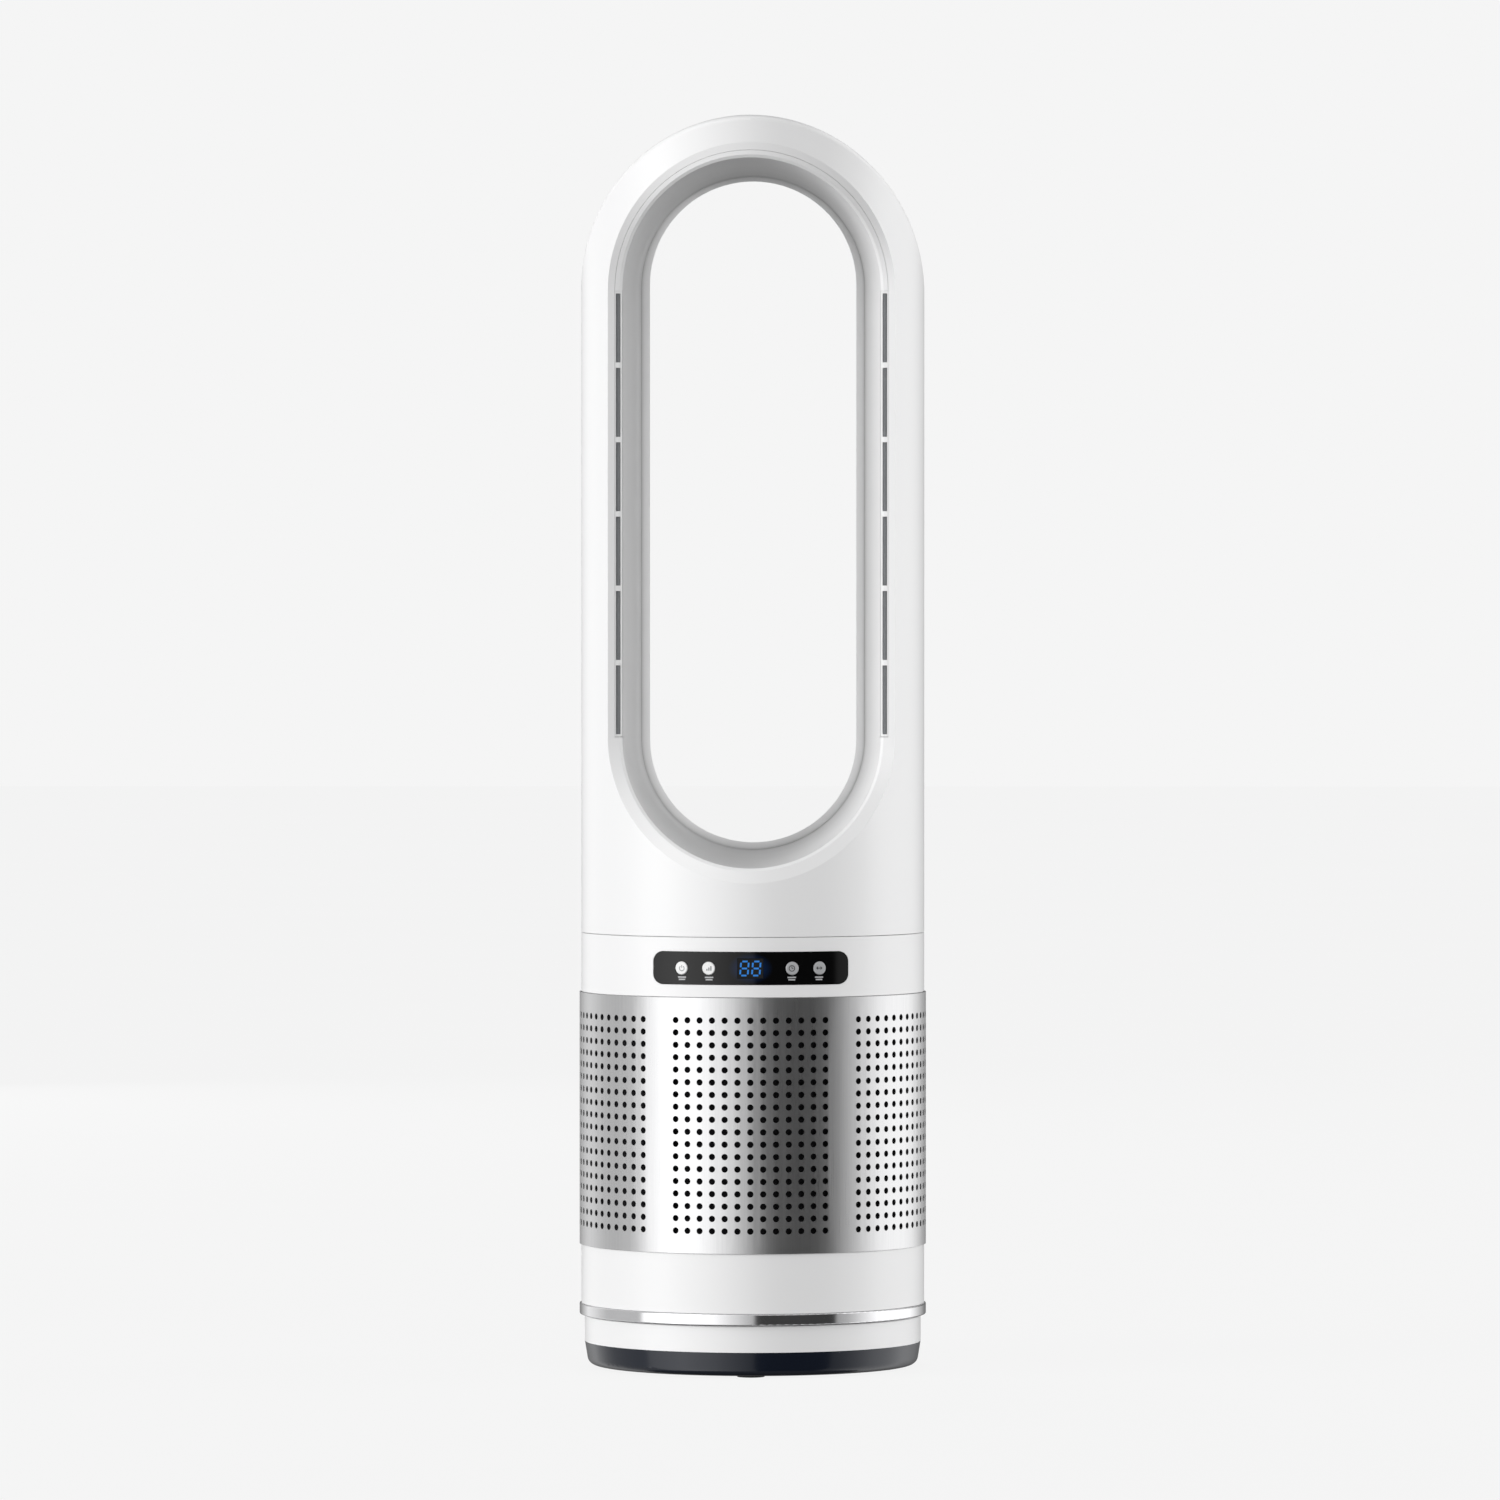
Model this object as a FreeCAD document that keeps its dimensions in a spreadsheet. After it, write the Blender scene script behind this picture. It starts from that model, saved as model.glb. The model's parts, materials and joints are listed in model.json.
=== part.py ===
import FreeCAD, Part
import math
import os

import Sketcher

V = FreeCAD.Vector
UP = V(0, 0, 1)

doc = FreeCAD.newDocument("tower_fan")
sheet = doc.addObject("Spreadsheet::Sheet", "sizes")

# Driving dimensions, all in millimetres, degrees or plain counts.
SIZES = [
    ("wall", 2.4, "usual wall of the moulded shells"),
    ("seam_gap", 0.3, "gap shown at a seam between two shells"),
    ("hair_gap", 0.15, "hairline between trim pieces of one body"),
    ("running_gap", 0.06, "radial clearance of a shaft or stem in its bore"),
    ("screw_gap", 0.05, "radial clearance round a screw shank"),
    ("moving_gap", 0.5, "gap between pieces that move past each other"),
    ("column_radius", 99.0, "outer radius of the white column"),
    ("trim_step", 1.0, "how far the grille and the bright ring stand proud"),
    ("foot_height", 1.5, "how far the feet stand below the tray"),
    ("foot_radius", 8.0, "radius of a foot"),
    ("foot_circle", 76.0, "radius of the circle of feet"),
    ("foot_count", 5, "number of feet"),
    ("tray_height", 13.7, "visible height of the black tray"),
    ("tray_radius", 97.0, "radius of the tray at its top and of the ring above"),
    ("tray_taper", 2.2, "how much narrower the tray is at the bottom"),
    ("tray_floor", 2.5, "thickness of the tray floor"),
    ("tray_edge", 5.0, "rounding of the tray's lower edge"),
    ("cover_height", 15.2, "visible height of the lower white ring"),
    ("chrome_height", 6.3, "height of the bright ring"),
    ("lower_height", 34.3, "height of the plain white part under the grille"),
    ("grille_height", 145.3, "height of the perforated sleeve"),
    ("collar_height", 34.3, "height of the part that carries the controls"),
    ("arch_rise", 367.2, "height of the centre of the top arch above the foot of the head"),
    ("head_rounding", 3.0, "rounding of the edge of the top arch"),
    ("opening_inset", 17.0, "width of the ring face beside the opening"),
    ("opening_sill", 30.7, "height of the opening's lowest point above the foot of the head"),
    ("mouth_width", 8.1, "width of the flat band round the opening"),
    ("mouth_depth", 1.6, "how far that band leans in over its width"),
    ("mouth_lip", 1.6, "chamfer where the band turns into the opening"),
    ("liner_setback", 13.0, "how far behind the front the liner starts under the lower arc"),
    ("lip_line", 4.0, "from the opening's edge to the parting line"),
    ("waist_inset", 17.4, "from the opening's edge to the crease inside it"),
    ("throat_inset", 22.3, "from the opening's edge to the narrowest place"),
    ("throat_depth", 16.0, "how far behind the axis the narrowest place is"),
    ("throat_rise", 5.5, "how much higher the throat's top arc is centred"),
    ("throat_drop", 2.0, "how much lower the throat's bottom arc is centred"),
    ("rear_flare", 8.0, "how much the opening widens again at the back"),
    ("shell_seam", 10.0, "how far behind the axis the two head shells meet"),
    ("slot_count", 6, "outlet slots on each side"),
    ("slot_length", 39.4, "length of an outlet slot"),
    ("slot_rib", 3.1, "rib between two slots"),
    ("slot_width", 2.6, "width of a slot"),
    ("slot_inset", 4.5, "from the opening's edge to a slot"),
    ("sheet", 0.8, "thickness of the perforated steel"),
    ("hole_radius", 1.8, "radius of a grille hole"),
    ("hole_rows", 18, "rows of holes"),
    ("hole_columns", 13, "columns of holes in a group"),
    ("hole_rise", 7.04, "height from row to row"),
    ("hole_turn", 4.2, "angle from column to column"),
    ("group_turn", 63.0, "angle from group to group"),
    ("panel_turn", 34.0, "half angle of the control panel"),
    ("panel_height", 18.7, "height of the control panel"),
    ("panel_corner", 5.7, "corner radius of the control panel"),
    ("panel_rise", 16.8, "height of the panel's middle above the collar's foot"),
    ("panel_thickness", 1.6, "thickness of the panel lens"),
    ("button_radius", 3.7, "radius of a button"),
    ("button_inner_turn", 13.85, "angle of the inner pair of buttons"),
    ("button_outer_turn", 23.3, "angle of the outer pair of buttons"),
    ("button_travel", 0.4, "how far a button goes in"),
    ("button_flange", 1.0, "width of the flange that keeps a button behind the lens"),
    ("stem_radius", 1.5, "radius of a button's stem"),
    ("stem_reach", 5.55, "how far behind the column's surface the stem ends"),
    ("guide_depth", 4.6, "how far behind the surface the button guide starts"),
    ("guide_thickness", 1.5, "thickness of the button guide"),
    ("board_depth", 9.8, "how far behind the surface the control board starts"),
    ("board_thickness", 1.6, "thickness of a circuit board"),
    ("digit_width", 6.0, "width of a display digit"),
    ("digit_height", 10.2, "height of a display digit"),
    ("bar_width", 0.95, "width of a lit bar of a digit"),
    ("bar_gap", 0.22, "gap between the bars of a digit"),
    ("bar_lean", 0.08, "lean of the digits, as a slope"),
    ("pivot_radius", 20.0, "outer radius of the pivot tube"),
    ("pivot_wall", 4.0, "wall of the pivot tube"),
    ("ball_radius", 2.0, "radius of a bearing ball"),
    ("ball_circle", 62.0, "radius of the ring of balls"),
    ("ball_count", 16, "number of bearing balls"),
    ("gear_module", 1.0, "tooth size of the swivel gears"),
    ("gear_teeth", 60, "teeth of the fixed gear"),
    ("pinion_teeth", 18, "teeth of the pinion"),
    ("gear_width", 3.0, "face width of the gears"),
    ("shroud_radius", 60.0, "inner radius of the blower shroud at its throat"),
    ("impeller_gap", 0.8, "gap between the blades and the shroud"),
    ("blade_count", 9, "number of impeller blades"),
    ("vane_count", 11, "number of diffuser vanes"),
    ("bucket_radius", 36.0, "outer radius of the motor bucket"),
    ("shaft_radius", 3.0, "radius of the blower shaft"),
    ("screw_radius", 1.45, "radius of a screw shank"),
    ("screw_head", 2.8, "radius of a screw head"),
    ("boss_radius", 4.2, "radius of a screw post in the head"),
    ("flange_width", 8.6, "width of the inward flanges of the column's rings"),
    ("flange_screws", 4.3, "from the inner wall to the screws in those flanges"),
    ("lead_radius", 2.4, "radius of the supply lead inside"),
    ("gland_bore", 2.6, "radius of the cord gland's bore"),
]


class Size:
    """A number that remembers the expression it came from."""

    def __init__(self, value, text):
        self.value = value
        self.text = text

    def __add__(self, other):
        other = size(other)
        return Size(self.value + other.value, f"({self.text} + {other.text})")

    def __sub__(self, other):
        other = size(other)
        return Size(self.value - other.value, f"({self.text} - {other.text})")

    def __mul__(self, other):
        other = size(other)
        return Size(self.value * other.value, f"({self.text} * {other.text})")

    def __truediv__(self, other):
        other = size(other)
        return Size(self.value / other.value, f"({self.text} / {other.text})")

    def __radd__(self, other):
        return size(other) + self

    def __rsub__(self, other):
        return size(other) - self

    def __rmul__(self, other):
        return size(other) * self

    def __neg__(self):
        return Size(-self.value, f"(0 - {self.text})")


def size(number):
    if isinstance(number, Size):
        return number
    return Size(float(number), repr(float(number)))


class Names:
    pass


s = Names()
for row, (word, number, meaning) in enumerate(SIZES, start=1):
    sheet.set(f"A{row}", word)
    sheet.set(f"B{row}", str(number))
    sheet.setAlias(f"B{row}", word)
    sheet.set(f"C{row}", meaning)
    setattr(s, word, Size(number, f"sizes.{word}"))
doc.recompute()

# Heights that several pieces share, worked out upwards from the table top.
tray_low = s.foot_height
tray_high = tray_low + s.tray_height
cover_high = tray_high + s.cover_height
chrome_low = cover_high + s.moving_gap
chrome_high = chrome_low + s.chrome_height
lower_high = chrome_high + s.lower_height
grille_high = lower_high + s.grille_height
collar_high = grille_high + s.collar_height
head_low = collar_high + s.seam_gap
deck_high = cover_high - 2.0
floor_low = deck_high + s.ball_radius * 2.0 + 0.1
floor_high = floor_low + 3.0
inside = s.column_radius - s.wall
opening = s.column_radius - s.opening_inset
arch_centre = head_low + s.arch_rise
opening_low = head_low + s.opening_sill + opening
panel_middle = grille_high + s.panel_rise
post_reach = s.tray_radius - 13.0
gland_height = tray_low + 8.1
head_rest = tray_low + 4.0
HALF = math.sqrt(0.5)
DIAGONALS = (45, 135, 225, 315)
# Where the wiring loom runs up the back of the column, as shares of the column's radius.
LOOM_ACROSS, LOOM_BACK = -0.576, 0.636

# One list of finished pieces, in the order they are made.
PIECES = []


def keep(label, thing):
    thing.Label = label
    PIECES.append(thing)
    return thing


def shape_piece(label, shape):
    """A piece whose shape is worked out by Part functions from the sheet's sizes."""
    thing = doc.addObject("Part::Feature", label)
    thing.Shape = shape
    thing.Placement = shape.Placement
    return keep(label, thing)


def new_body(label):
    return keep(label, doc.addObject("PartDesign::Body", label))


def plane_of(body, role):
    for feature in body.Origin.OriginFeatures:
        if feature.Role == role:
            return feature
    raise ValueError(role)


def new_sketch(body, role="XZ_Plane", lift=None):
    sketch = body.newObject("Sketcher::SketchObject", body.Name + "_sketch")
    sketch.AttachmentSupport = [(plane_of(body, role), "")]
    sketch.MapMode = "FlatFace"
    if lift is not None:
        lift = size(lift)
        sketch.AttachmentOffset = FreeCAD.Placement(V(0, 0, lift.value), FreeCAD.Rotation())
        sketch.setExpression(".AttachmentOffset.Base.z", lift.text)
    return sketch


def pin_down(sketch, curve, vertex, point):
    """Ties one point of a sketch to its two coordinates."""
    for kind, axis, coordinate in (("DistanceX", -2, point[0]), ("DistanceY", -1, point[1])):
        coordinate = size(coordinate)
        if abs(coordinate.value) < 1e-9:
            sketch.addConstraint(Sketcher.Constraint("PointOnObject", curve, vertex, axis))
            continue
        if coordinate.value > 0:
            tie = Sketcher.Constraint(kind, -1, 1, curve, vertex, coordinate.value)
        else:
            coordinate = -coordinate
            tie = Sketcher.Constraint(kind, curve, vertex, -1, 1, coordinate.value)
        index = sketch.addConstraint(tie)
        sketch.setExpression(f"Constraints[{index}]", coordinate.text)


def outline(sketch, points):
    """A closed outline of straight lines, every corner tied to the sheet."""
    points = [(size(across), size(along)) for across, along in points]
    first = sketch.GeometryCount
    count = len(points)
    for index, (across, along) in enumerate(points):
        after = points[(index + 1) % count]
        start = V(across.value, along.value, 0)
        sketch.addGeometry(Part.LineSegment(start, V(after[0].value, after[1].value, 0)), False)
    for index in range(count):
        after = first + (index + 1) % count
        sketch.addConstraint(Sketcher.Constraint("Coincident", first + index, 2, after, 1))
    for index, point in enumerate(points):
        pin_down(sketch, first + index, 1, point)


def ring(sketch, across, along, radius):
    """A circle with its centre and radius tied to the sheet."""
    across, along, radius = size(across), size(along), size(radius)
    middle = V(across.value, along.value, 0)
    curve = sketch.addGeometry(Part.Circle(middle, UP, radius.value), False)
    pin_down(sketch, curve, 3, (across, along))
    index = sketch.addConstraint(Sketcher.Constraint("Radius", curve, radius.value))
    sketch.setExpression(f"Constraints[{index}]", radius.text)


def rectangle(sketch, left, low, right, high):
    outline(sketch, [(left, low), (right, low), (right, high), (left, high)])


def turned(body, points):
    """Turns an outline of (radius, height) corners round the upright axis."""
    sketch = new_sketch(body)
    outline(sketch, points)
    turn = body.newObject("PartDesign::Revolution", body.Name + "_turn")
    turn.Profile = sketch
    turn.ReferenceAxis = (sketch, ["V_Axis"])
    turn.Angle = 360.0
    doc.recompute()
    return turn


def raised(body, draw, low, high):
    """Pads a sketch on a level plane from one height to another."""
    low, high = size(low), size(high)
    sketch = new_sketch(body, "XY_Plane", low)
    draw(sketch)
    pad = body.newObject("PartDesign::Pad", body.Name + "_pad")
    pad.Profile = sketch
    pad.Length = high.value - low.value
    pad.setExpression("Length", (high - low).text)
    doc.recompute()
    return pad


def sunk(body, draw, high, low):
    """Pockets a sketch on a level plane downwards from one height to another."""
    low, high = size(low), size(high)
    sketch = new_sketch(body, "XY_Plane", high)
    draw(sketch)
    pocket = body.newObject("PartDesign::Pocket", body.Name + "_pocket")
    pocket.Profile = sketch
    pocket.Length = high.value - low.value
    pocket.setExpression("Length", (high - low).text)
    doc.recompute()
    return pocket


def round_about(body, feature, count):
    """Repeats a feature round the upright axis."""
    count = size(count)
    pattern = body.newObject("PartDesign::PolarPattern", body.Name + "_pattern")
    pattern.Originals = [feature]
    pattern.Axis = (plane_of(body, "Z_Axis"), [""])
    pattern.Angle = 360.0
    pattern.Occurrences = int(count.value)
    pattern.setExpression("Occurrences", count.text)
    body.Tip = pattern
    doc.recompute()
    return pattern


def softened(body, radius, wanted):
    """Rounds the edges of a body that a test picks out."""
    radius = size(radius)
    base = body.Tip
    names = []
    for index, edge in enumerate(base.Shape.Edges, start=1):
        if wanted(edge):
            names.append(f"Edge{index}")
    fillet = body.newObject("PartDesign::Fillet", body.Name + "_fillet")
    fillet.Base = (base, names)
    fillet.Radius = radius.value
    fillet.setExpression("Radius", radius.text)
    doc.recompute()
    return fillet


def circle_at(radius, height):
    """A test for the circular edges of one radius at one height."""
    radius, height = size(radius).value, size(height).value

    def test(edge):
        if not isinstance(edge.Curve, Part.Circle):
            return False
        level = abs(edge.Curve.Center.z - height) < 1e-3
        return level and abs(edge.Curve.Radius - radius) < 1e-3

    return test


def either(*tests):
    return lambda edge: any(test(edge) for test in tests)


def on_circle(radius, degrees, height=0.0):
    """A point at an angle from the front, seen from above."""
    angle = math.radians(degrees)
    return V(radius * math.sin(angle), -radius * math.cos(angle), height)


def solid_of(shape):
    """The one solid of a boolean's result."""
    clean = shape.removeSplitter()
    return clean.Solids[0] if len(clean.Solids) == 1 else clean


def joined(shapes):
    first = shapes[0]
    return solid_of(first.multiFuse(shapes[1:])) if len(shapes) > 1 else first


def spun(points):
    """A solid of revolution from (radius, height) numbers."""
    corners = [V(radius, 0, height) for radius, height in points]
    wire = Part.makePolygon(corners + corners[:1])
    return Part.Face(wire).revolve(V(0, 0, 0), UP, 360)


def block(low, high):
    """A box between two opposite corners."""
    span = high - low
    return Part.makeBox(span.x, span.y, span.z, low)


def disc(radius, height, centre, way=UP):
    return Part.makeCylinder(radius, height, centre, way)


def screw(length, head=None, shank=None):
    """A pan head screw standing on its tip at the origin, head on top."""
    head = s.screw_head.value if head is None else head
    shank = s.screw_radius.value if shank is None else shank
    cap = head * 0.6
    body = disc(shank, length, V(0, 0, 0))
    top = disc(head, cap, V(0, 0, length))
    top = top.makeFillet(head * 0.3, [edge for edge in top.Edges if edge.BoundBox.ZMin > length + cap / 2])
    cross = block(V(-head * 0.55, -0.35, length + cap - 0.7), V(head * 0.55, 0.35, length + cap))
    turned_cross = cross.copy()
    turned_cross.rotate(V(0, 0, 0), UP, 90)
    return body.fuse(top).cut(cross.fuse(turned_cross))


def placed(shape, where, way=UP):
    """A copy turned from the upright axis to a direction and then moved."""
    copy = shape.copy()
    turn = FreeCAD.Rotation(UP, way)
    copy.Placement = FreeCAD.Placement(where, turn).multiply(copy.Placement)
    return copy


def group(label, shapes):
    return shape_piece(label, Part.makeCompound(shapes))


def base_tray():
    body = new_body("base_tray")
    low = s.tray_radius - s.tray_taper
    turned(body, [
        (0, tray_low), (low, tray_low), (s.tray_radius, tray_high),
        (s.tray_radius - s.wall, tray_high), (low - s.wall, tray_low + s.tray_floor),
        (0, tray_low + s.tray_floor),
    ])
    softened(body, s.tray_edge, circle_at(low, tray_low))
    reach = post_reach * HALF
    post = raised(body, lambda k: ring(k, reach, reach, 5.0), tray_low + 0.5, tray_high + 0.8)
    round_about(body, post, 4)
    hole = sunk(body, lambda k: ring(k, reach, reach, s.screw_radius + 0.3), tray_high + 1.0, tray_low - 1.0)
    round_about(body, hole, 4)
    well = sunk(body, lambda k: ring(k, reach, reach, s.screw_head + 0.4), head_rest, tray_low - 1.0)
    round_about(body, well, 4)
    turn = math.radians(36)
    seat = sunk(body, lambda k: ring(k, s.foot_circle * math.sin(turn), s.foot_circle * math.cos(turn),
                                     s.foot_radius + 0.15), tray_low + 1.4, tray_low - 1.0)
    round_about(body, seat, s.foot_count)
    side = new_sketch(body, "XZ_Plane", -(s.tray_radius + 2.0))
    ring(side, 0, gland_height, s.gland_bore + 1.1)
    hole = body.newObject("PartDesign::Pocket", "gland_hole")
    hole.Profile = side
    hole.Length = 12.0
    hole.Reversed = True
    doc.recompute()


def cord_gland():
    """A moulded bush: an outer flange, a neck through the wall and an inner flange."""
    bore, neck = s.gland_bore.value, s.gland_bore.value + 1.0
    outer, inner = s.tray_radius.value, s.tray_radius.value - 8.5
    bush = disc(neck, outer + 1.6 - inner, V(0, inner, 0), V(0, 1, 0))
    flange = disc(neck + 1.2, 1.6, V(0, outer, 0), V(0, 1, 0))
    back = disc(neck + 1.0, 1.5, V(0, inner, 0), V(0, 1, 0))
    shape = bush.multiFuse([flange, back]).cut(disc(bore, 20, V(0, inner - 2, 0), V(0, 1, 0)))
    shape.translate(V(0, 0, gland_height.value))
    shape_piece("cord_gland", solid_of(shape))


def rubber_feet():
    radius, tall = s.foot_radius.value, s.foot_height.value + 1.4
    pad = disc(radius, tall, V(0, 0, 0))
    pad = pad.makeFillet(0.5, [edge for edge in pad.Edges if edge.BoundBox.ZMax < 0.1])
    feet = []
    for index in range(int(s.foot_count.value)):
        angle = math.radians(54 + index * 360 / s.foot_count.value)
        where = V(s.foot_circle.value * math.cos(angle), s.foot_circle.value * math.sin(angle), 0)
        feet.append(placed(pad, where))
    group("rubber_feet", feet)


def base_cover():
    body = new_body("base_cover")
    rim, bore = s.tray_radius, s.pivot_radius + s.running_gap
    turned(body, [
        (rim, tray_high), (rim, cover_high), (rim - 5.0, cover_high), (rim - 5.0, deck_high),
        (bore, deck_high), (bore, deck_high - 10.4), (bore + 4.0, deck_high - 10.4),
        (bore + 4.0, deck_high - 2.2), (rim - 5.2, deck_high - 2.2), (rim - 5.2, tray_high - 1.7),
        (rim - 3.4, tray_high - 1.7), (rim - 3.4, tray_high),
    ])
    softened(body, 1.0, circle_at(rim, cover_high))
    reach = post_reach * HALF
    post = raised(body, lambda k: ring(k, reach, reach, 4.0), tray_high + 1.0, deck_high - 1.0)
    round_about(body, post, 4)
    drill = s.screw_radius + s.screw_gap
    hole = sunk(body, lambda k: ring(k, reach, reach, drill), deck_high - s.wall, tray_high)
    round_about(body, hole, 4)


def base_screws():
    """Four screws driven up through the tray posts into the cover posts."""
    length = (deck_high - tray_low).value - 7.0
    one = screw(length)
    tips = [on_circle(post_reach.value, turn, head_rest.value + length) for turn in DIAGONALS]
    group("base_screws", [placed(one, tip, V(0, 0, -1)) for tip in tips])


def involute(angle):
    return math.tan(angle) - angle


def gear_face(teeth, module, slack, first_turn):
    """The outline of a spur gear with involute flanks and a little backlash."""
    pitch = module * teeth / 2
    tip, root = pitch + module * 0.95, pitch - module * 1.25
    press = math.radians(20)
    base = pitch * math.cos(press)
    half = math.pi / (2 * teeth) - slack / (2 * pitch) + involute(press)
    start = max(base, root)
    levels = [start + (tip - start) * step / 4 for step in range(5)]
    flank = [(level, half - involute(math.acos(min(1.0, base / level)))) for level in levels]
    points = []
    for tooth in range(teeth):
        middle = math.radians(first_turn) + 2 * math.pi * tooth / teeth
        side = [(root, half - involute(math.acos(min(1.0, base / start))) + 0.01)] + flank
        for radius, offset in side:
            points.append(V(radius * math.cos(middle - offset), radius * math.sin(middle - offset), 0))
        for radius, offset in reversed(side):
            points.append(V(radius * math.cos(middle + offset), radius * math.sin(middle + offset), 0))
    return Part.Face(Part.makePolygon(points + points[:1]))


def swivel_gear():
    """The fixed gear lies on the deck round the pivot."""
    teeth, width = int(s.gear_teeth.value), s.gear_width.value
    low = deck_high.value
    face = gear_face(teeth, s.gear_module.value, 0.12, 0)
    gear = face.extrude(V(0, 0, width))
    gear.translate(V(0, 0, low))
    shape_piece("swivel_gear", gear.cut(disc(s.pivot_radius.value + 2.5, 20, V(0, 0, low - 5))))


def gear_reach():
    return s.gear_module.value * (s.gear_teeth.value + s.pinion_teeth.value) / 2


def drive_pinion():
    """The pinion and its spindle turn together."""
    teeth = int(s.pinion_teeth.value)
    gear = gear_face(teeth, s.gear_module.value, 0.12, 180 / teeth).extrude(V(0, 0, s.gear_width.value))
    low = deck_high.value + 0.5
    gear.translate(V(0, 0, low))
    spindle = disc(2.5, floor_high.value + 9.0 - low, V(0, 0, low))
    shape = gear.fuse(spindle)
    shape.translate(V(gear_reach(), 0, 0))
    shape_piece("drive_pinion", solid_of(shape))


def bearing():
    """A flat ring of balls that carries the column's weight."""
    middle = (deck_high.value + floor_low.value) / 2
    reach, radius = s.ball_circle.value, s.ball_radius.value
    count = int(s.ball_count.value)
    cage = disc(reach + 4.0, 2.0, V(0, 0, middle - 1.0)).cut(disc(reach - 4.0, 4.0, V(0, 0, middle - 2.0)))
    spots = [on_circle(reach, 360 * index / count, middle) for index in range(count)]
    pockets = [disc(radius + 0.06, 6.0, spot - V(0, 0, 3.0)) for spot in spots]
    shape_piece("bearing_cage", cage.cut(Part.makeCompound(pockets)))
    group("bearing_balls", [Part.makeSphere(radius, spot) for spot in spots])


def column_floor():
    body = new_body("column_floor")
    edge = s.column_radius - s.wall + 0.3
    tube, foot = s.pivot_radius, deck_high - 10.7
    turned(body, [
        (tube - s.pivot_wall, foot), (tube, foot), (tube, floor_low), (edge, floor_low),
        (edge, floor_high), (tube - s.pivot_wall, floor_high),
    ])
    sunk(body, lambda k: ring(k, s.gear_module * (s.gear_teeth + s.pinion_teeth) / 2.0, 0, 4.0),
         floor_high + 1.0, floor_low - 1.0)
    post = raised(body, lambda k: ring(k, s.column_radius - 9.0, 0, 3.6), floor_high - 0.5, chrome_high)
    round_about(body, post, 4)
    hole = sunk(body, lambda k: ring(k, s.column_radius - 9.0, 0, s.screw_radius + s.screw_gap),
                chrome_high + 1.0, floor_low - 1.0)
    round_about(body, hole, 4)
    middle = tube - s.pivot_wall / 2.0
    hole = sunk(body, lambda k: ring(k, middle, 0, 1.25), foot + 9.0, foot - 1.0)
    round_about(body, hole, 3)


def retaining_ring():
    body = new_body("retaining_ring")
    foot = deck_high - 10.7
    inner = s.pivot_radius - s.pivot_wall + 0.3
    turned(body, [
        (inner, foot - 2.0), (s.pivot_radius + 5.0, foot - 2.0), (s.pivot_radius + 5.0, foot), (inner, foot),
    ])
    middle = s.pivot_radius - s.pivot_wall / 2.0
    hole = sunk(body, lambda k: ring(k, middle, 0, 1.3), foot + 1.0, foot - 3.0)
    round_about(body, hole, 3)


def retaining_screws():
    foot = deck_high.value - 12.7
    one = screw(9.5, 2.2, 1.2)
    middle = (s.pivot_radius - s.pivot_wall / 2.0).value
    spots = [V(middle * math.cos(turn), middle * math.sin(turn), foot + 9.5)
             for turn in (0, 2 * math.pi / 3, 4 * math.pi / 3)]
    shapes = []
    for spot in spots:
        shapes.append(placed(one, spot, V(0, 0, -1)))
    group("retaining_screws", shapes)


def chrome_ring():
    body = new_body("chrome_ring")
    outer, inner = s.column_radius + s.trim_step, s.column_radius - s.wall + 0.6
    turned(body, [(inner, chrome_low), (outer, chrome_low), (outer, chrome_high), (inner, chrome_high)])
    softened(body, 0.6, either(circle_at(outer, chrome_low), circle_at(outer, chrome_high)))


def lower_shell():
    body = new_body("lower_shell")
    turned(body, [
        (s.column_radius, chrome_high + 0.05), (s.column_radius, lower_high), (inside, lower_high),
        (inside, chrome_high + 2.4), (inside - 10.6, chrome_high + 2.4), (inside - 10.6, chrome_high + 0.05),
    ])
    softened(body, 0.4, either(circle_at(s.column_radius, chrome_high + 0.05),
                               circle_at(s.column_radius, lower_high)))
    hole = sunk(body, lambda k: ring(k, s.column_radius - 9.0, 0, s.screw_radius + s.screw_gap),
                chrome_high + 3.0, chrome_high - 1.0)
    round_about(body, hole, 4)


def lower_shell_screws():
    reach = s.column_radius.value - 9.0
    high = chrome_high.value + 2.4
    one = screw(high - floor_low.value - 0.4, 2.6)
    group("lower_shell_screws",
          [placed(one, on_circle(reach, turn, floor_low.value + 0.4)) for turn in (0, 90, 180, 270)])


def perforated_grille():
    """Five groups of holes in a thin sleeve, with a butt joint in the plain strip at the back."""
    outer = s.column_radius.value + s.trim_step.value
    inner = outer - s.sheet.value
    low, tall = lower_high.value, s.grille_height.value
    sleeve = hollow(outer, inner, low, low + tall)
    columns, rows = int(s.hole_columns.value), int(s.hole_rows.value)
    first = low + (tall - (rows - 1) * s.hole_rise.value) / 2
    cuts = [block(V(-0.15, outer - 5, low - 1), V(0.15, outer + 5, low + tall + 1))]
    for middle in range(-2, 3):
        for column in range(columns):
            angle = middle * s.group_turn.value + (column - (columns - 1) / 2) * s.hole_turn.value
            way = on_circle(1.0, angle)
            for row in range(rows):
                start = on_circle(inner - 1.0, angle, first + row * s.hole_rise.value)
                cuts.append(disc(s.hole_radius.value, s.sheet.value + 2.0, start, way))
    shape_piece("perforated_grille", sleeve.cut(Part.makeCompound(cuts)))


def frame_bars():
    """Angles of the bars that stand behind the plain strips of the grille."""
    half = s.group_turn.value / 2
    return [half, -half, 3 * half, -3 * half, 160, 200]


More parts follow.
